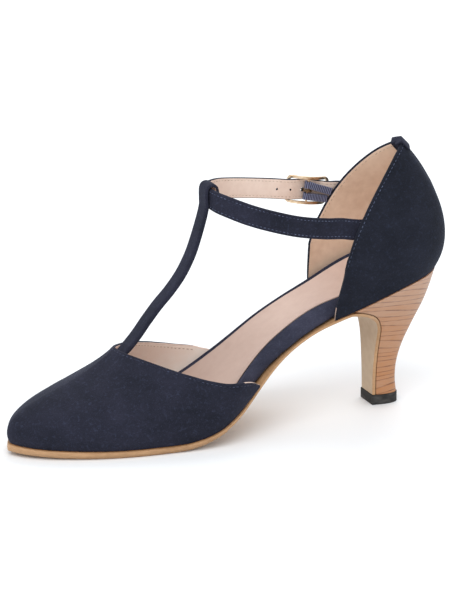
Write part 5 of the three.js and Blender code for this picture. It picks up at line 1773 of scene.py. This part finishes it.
@dataclass
class ElasticBand:
    """Ribbed elastic that runs from the quarter's edge round the buckle's centre bar and back.

    Attributes:
        last: form that the quarter is made on.
        buckle: the buckle.
        side: 1 for the upper band, -1 for the lower one.
        width: width of the band.
        thickness: thickness of the band.
        turn: radius of its middle round the bar.
        rim: place of the quarter's edge along the buckle's frame.
        drop: how far the band drops to the edge.
        prong: width of the prong between the bands.
        ribs: number of ribs.
    """

    last: Last
    buckle: Buckle
    side: int
    width: float = 3.5
    thickness: float = 0.6
    turn: float = 1.68
    rim: float = -8
    drop: float = 1.5
    prong: float = 1.15
    ribs: int = 32

    def make(self, finishes: Finishes, name: str, node: str) -> None:
        """Builds one band.

        Args:
            finishes: all finishes of the shoe.
            name: name of the piece.
            node: CAD node that it stands for.
        """
        place = self.buckle.place
        wall = UpperWall(self.last, self.last.quarter_wall)
        height = self.side * (self.prong / 2 + 2 * GAP + self.width / 2)
        rim_height = place.at(self.rim, 0, 0).z + self.side * (self.width / 2 + GAP / 2) - self.drop
        spot = narrow(1, 0.5, lambda share: wall.point(share, 1).z < rim_height)
        end = wall.point(spot, 1) - wall.normal(spot, 1) * (self.last.wall / 2)
        slope = (wall.point(spot - 0.01, 1) - wall.point(spot + 0.01, 1)).normalized()
        to_buckle = Matrix((place.forward, place.up, place.out))
        end = to_buckle @ (end - place.origin)
        slope = to_buckle @ slope
        upright = Vector((slope.x / slope.y, 1, 0))
        layer = self.thickness / 2 + GAP / 2
        bar = Vector((self.buckle.bar_ahead, -self.buckle.bow))

        def leg(side: int, share: float) -> tuple[float, float, float]:
            """Gives a place of the band's outer or inner leg at a share of the way to the rim."""
            deep = mix(bar.y + side * self.turn, end.z + side * layer, share ** 0.5)
            return mix(bar.x, end.x + 2 * GAP, share), deep, share

        angles = [math.radians(90 - 30 * step) for step in range(7)]
        bend = [(bar.x + self.turn * math.cos(angle), bar.y + self.turn * math.sin(angle), 0.0) for angle in angles]
        shares = (0.25, 0.5, 0.75, 1)
        line = [*[leg(1, share) for share in reversed(shares)], *bend, *[leg(-1, share) for share in shares]]
        stations = []
        for x, z, at_rim in line:
            tall = Vector((0, 1, 0)).lerp(upright, at_rim)
            middle = place.at(x, mix(height, end.y, at_rim), z)
            across = place.forward * tall.x + place.up * tall.y + place.out * tall.z
            stations.append(Station(middle, across, tall.length * self.width / 2, self.thickness / 2))
        body = StrapBody(stations, groove=0.0)
        count = 32

        def ribbed(along: float, share: float) -> Vector:
            """Gives a point of the section, raised on the ribs."""
            point = body.section(along, share, count)
            middle = body.frame_at(along)[0]
            wave = 0.5 + 0.5 * math.sin(along * self.ribs * 2 * math.pi)
            return middle + (point - middle) * mix(0.9, 1.03, wave)

        band = shaped_grid(name, self.ribs * 8, count, ribbed, 80)
        hand_over(dress(band, finishes.elastic), "elastic", node)


# ---------------------------------------------------------------- sole, heel and footbed


@dataclass
class SoleUnit:
    """Outsole with its flap down the heel's breast, stacked heel, rubber lift, footbed and sock.

    Attributes:
        edge_round: rounding of the outsole's edges.
        heel_round: rounding of the heel's corners.
        sharp: edges sharper than this are rounded, in degrees.
    """

    edge_round: float = 0.3
    heel_round: float = 0.25
    sharp: float = 38

    def make(self, finishes: Finishes) -> None:
        """Builds and dresses the pieces under the foot.

        Args:
            finishes: all finishes of the shoe.
        """
        outsole = refined_copy("outsole", "outsole_leather", self.edge_round, 1, self.sharp)
        paint_faces(outsole, (finishes.sole, finishes.flap), self.flap_face)
        hand_over(outsole, "sole_leather", "outsole")
        for node, name, round_width, levels, material, slot in (
                ("heel", "heel_stack", self.heel_round, 1, finishes.stack, "stacked_heel"),
                ("top_piece", "heel_lift", 0.35, 1, finishes.rubber, "heel_rubber"),
                ("footbed", "footbed_cover", 0.0, 2, finishes.lighter_suede, "suede"),
                ("sock_lining", "sock", 0.2, 2, finishes.sock, "sock_leather")):
            piece = refined_copy(node, name, round_width, levels, self.sharp)
            hand_over(dress(piece, material), slot, node)

    @staticmethod
    def flap_face(_: float, __: float, polygon: bpy.types.MeshPolygon) -> int:
        """Picks the grey face of the flap or the tan leather."""
        low = polygon.center.x < 0.0245 and 0.0055 < polygon.center.z < 0.0535
        return 1 if low and polygon.normal.x > 0.8 - 0.5 * blend(polygon.center.z, 0.046, 0.052) else 0


# ---------------------------------------------------------------- stage


@dataclass
class Studio:
    """Pale floor, soft light and the camera.

    Attributes:
        target: place that the camera looks at, millimetres.
        toward: direction from the target to the camera.
        distance: distance of the camera.
        lens: focal length for a 36 mm sensor.
        roll: turn of the picture, degrees.
        shift: sideways and upward shift of the frame.
    """

    target: Vector = field(default_factory=lambda: Vector((85, 0, 60)))
    toward: Vector = field(default_factory=lambda: Vector((0.353, 0.887, 0.297)))
    distance: float = 1502
    lens: float = 183.5
    roll: float = -0.2
    shift: tuple[float, float] = (0.003, 0.0087)

    def camera(self) -> None:
        """Sets the camera at the photograph's angle."""
        data = bpy.data.cameras.new("camera")
        camera = bpy.data.objects.new("camera", data)
        bpy.context.collection.objects.link(camera)
        back = self.toward.normalized()
        data.lens = self.lens
        data.sensor_width = 36
        data.shift_x, data.shift_y = self.shift
        data.clip_start, data.clip_end = 0.05, 60
        camera.rotation_mode = "QUATERNION"
        turn = (-back).to_track_quat("-Z", "Y").to_matrix() @ Matrix.Rotation(math.radians(self.roll), 3, "Z")
        camera.location = (self.target + back * self.distance) * MM
        camera.rotation_quaternion = turn.to_quaternion()
        bpy.context.scene.camera = camera

    def floor(self) -> None:
        """Lays the pale floor."""
        clear_selection()
        bpy.ops.mesh.primitive_circle_add(vertices=96, radius=9, fill_type="NGON", location=(0.1, 0, 0))
        floor = settle(bpy.context.object, "floor")
        dress(floor, Paper().make())

    def lamp(self, name: str, place: tuple[float, float, float], size: float, power: float) -> None:
        """Hangs one soft lamp that points at the shoe.

        Args:
            name: name of the lamp.
            place: its place in metres.
            size: width of its face in metres.
            power: its power in watts.
        """
        data = bpy.data.lights.new(name, "AREA")
        data.shape = "DISK"
        data.size = size
        data.energy = power
        lamp = bpy.data.objects.new(name, data)
        bpy.context.collection.objects.link(lamp)
        lamp.location = place
        lamp.rotation_mode = "QUATERNION"
        lamp.rotation_quaternion = (Vector((0.08, 0, 0.05)) - Vector(place)).to_track_quat("-Z", "Y")

    def light(self) -> None:
        """Sets the soft light of the room and the lamps."""
        world = bpy.data.worlds.new("soft room")
        bpy.context.scene.world = world
        world.use_nodes = True
        sky = world.node_tree.nodes["Background"]
        sky.inputs["Color"].default_value = (1, 1, 1, 1)
        sky.inputs["Strength"].default_value = 0.84
        self.lamp("key lamp", (0.75, 0.8, 1.45), 1.7, 16)
        self.lamp("back lamp", (-0.5, -0.9, 1.2), 1.1, 8)
        bpy.context.scene.view_settings.view_transform = "Standard"

    def set_up(self) -> None:
        """Sets floor, light and camera."""
        self.floor()
        self.light()
        self.camera()


def main() -> None:
    """Builds the shoe's pieces in order and sets the stage."""
    logging.basicConfig(level=logging.INFO, format="%(name)s: %(message)s")
    finishes = Finishes()
    last = Last()
    place = BucklePlace()
    SoleUnit().make(finishes)
    Vamp(last).make(finishes)
    Quarter(last).make(finishes)
    AnkleStrap(last, place).make(finishes)
    CentreStrap(last, place).make(finishes)
    buckle = Buckle(place)
    buckle.make(finishes)
    ElasticBand(last, buckle, 1).make(finishes, "upper_elastic", "elastic_upper")
    ElasticBand(last, buckle, -1).make(finishes, "lower_elastic", "elastic_lower")
    Studio().set_up()
    LOG.info("done")


if __name__ == "__main__":
    main()
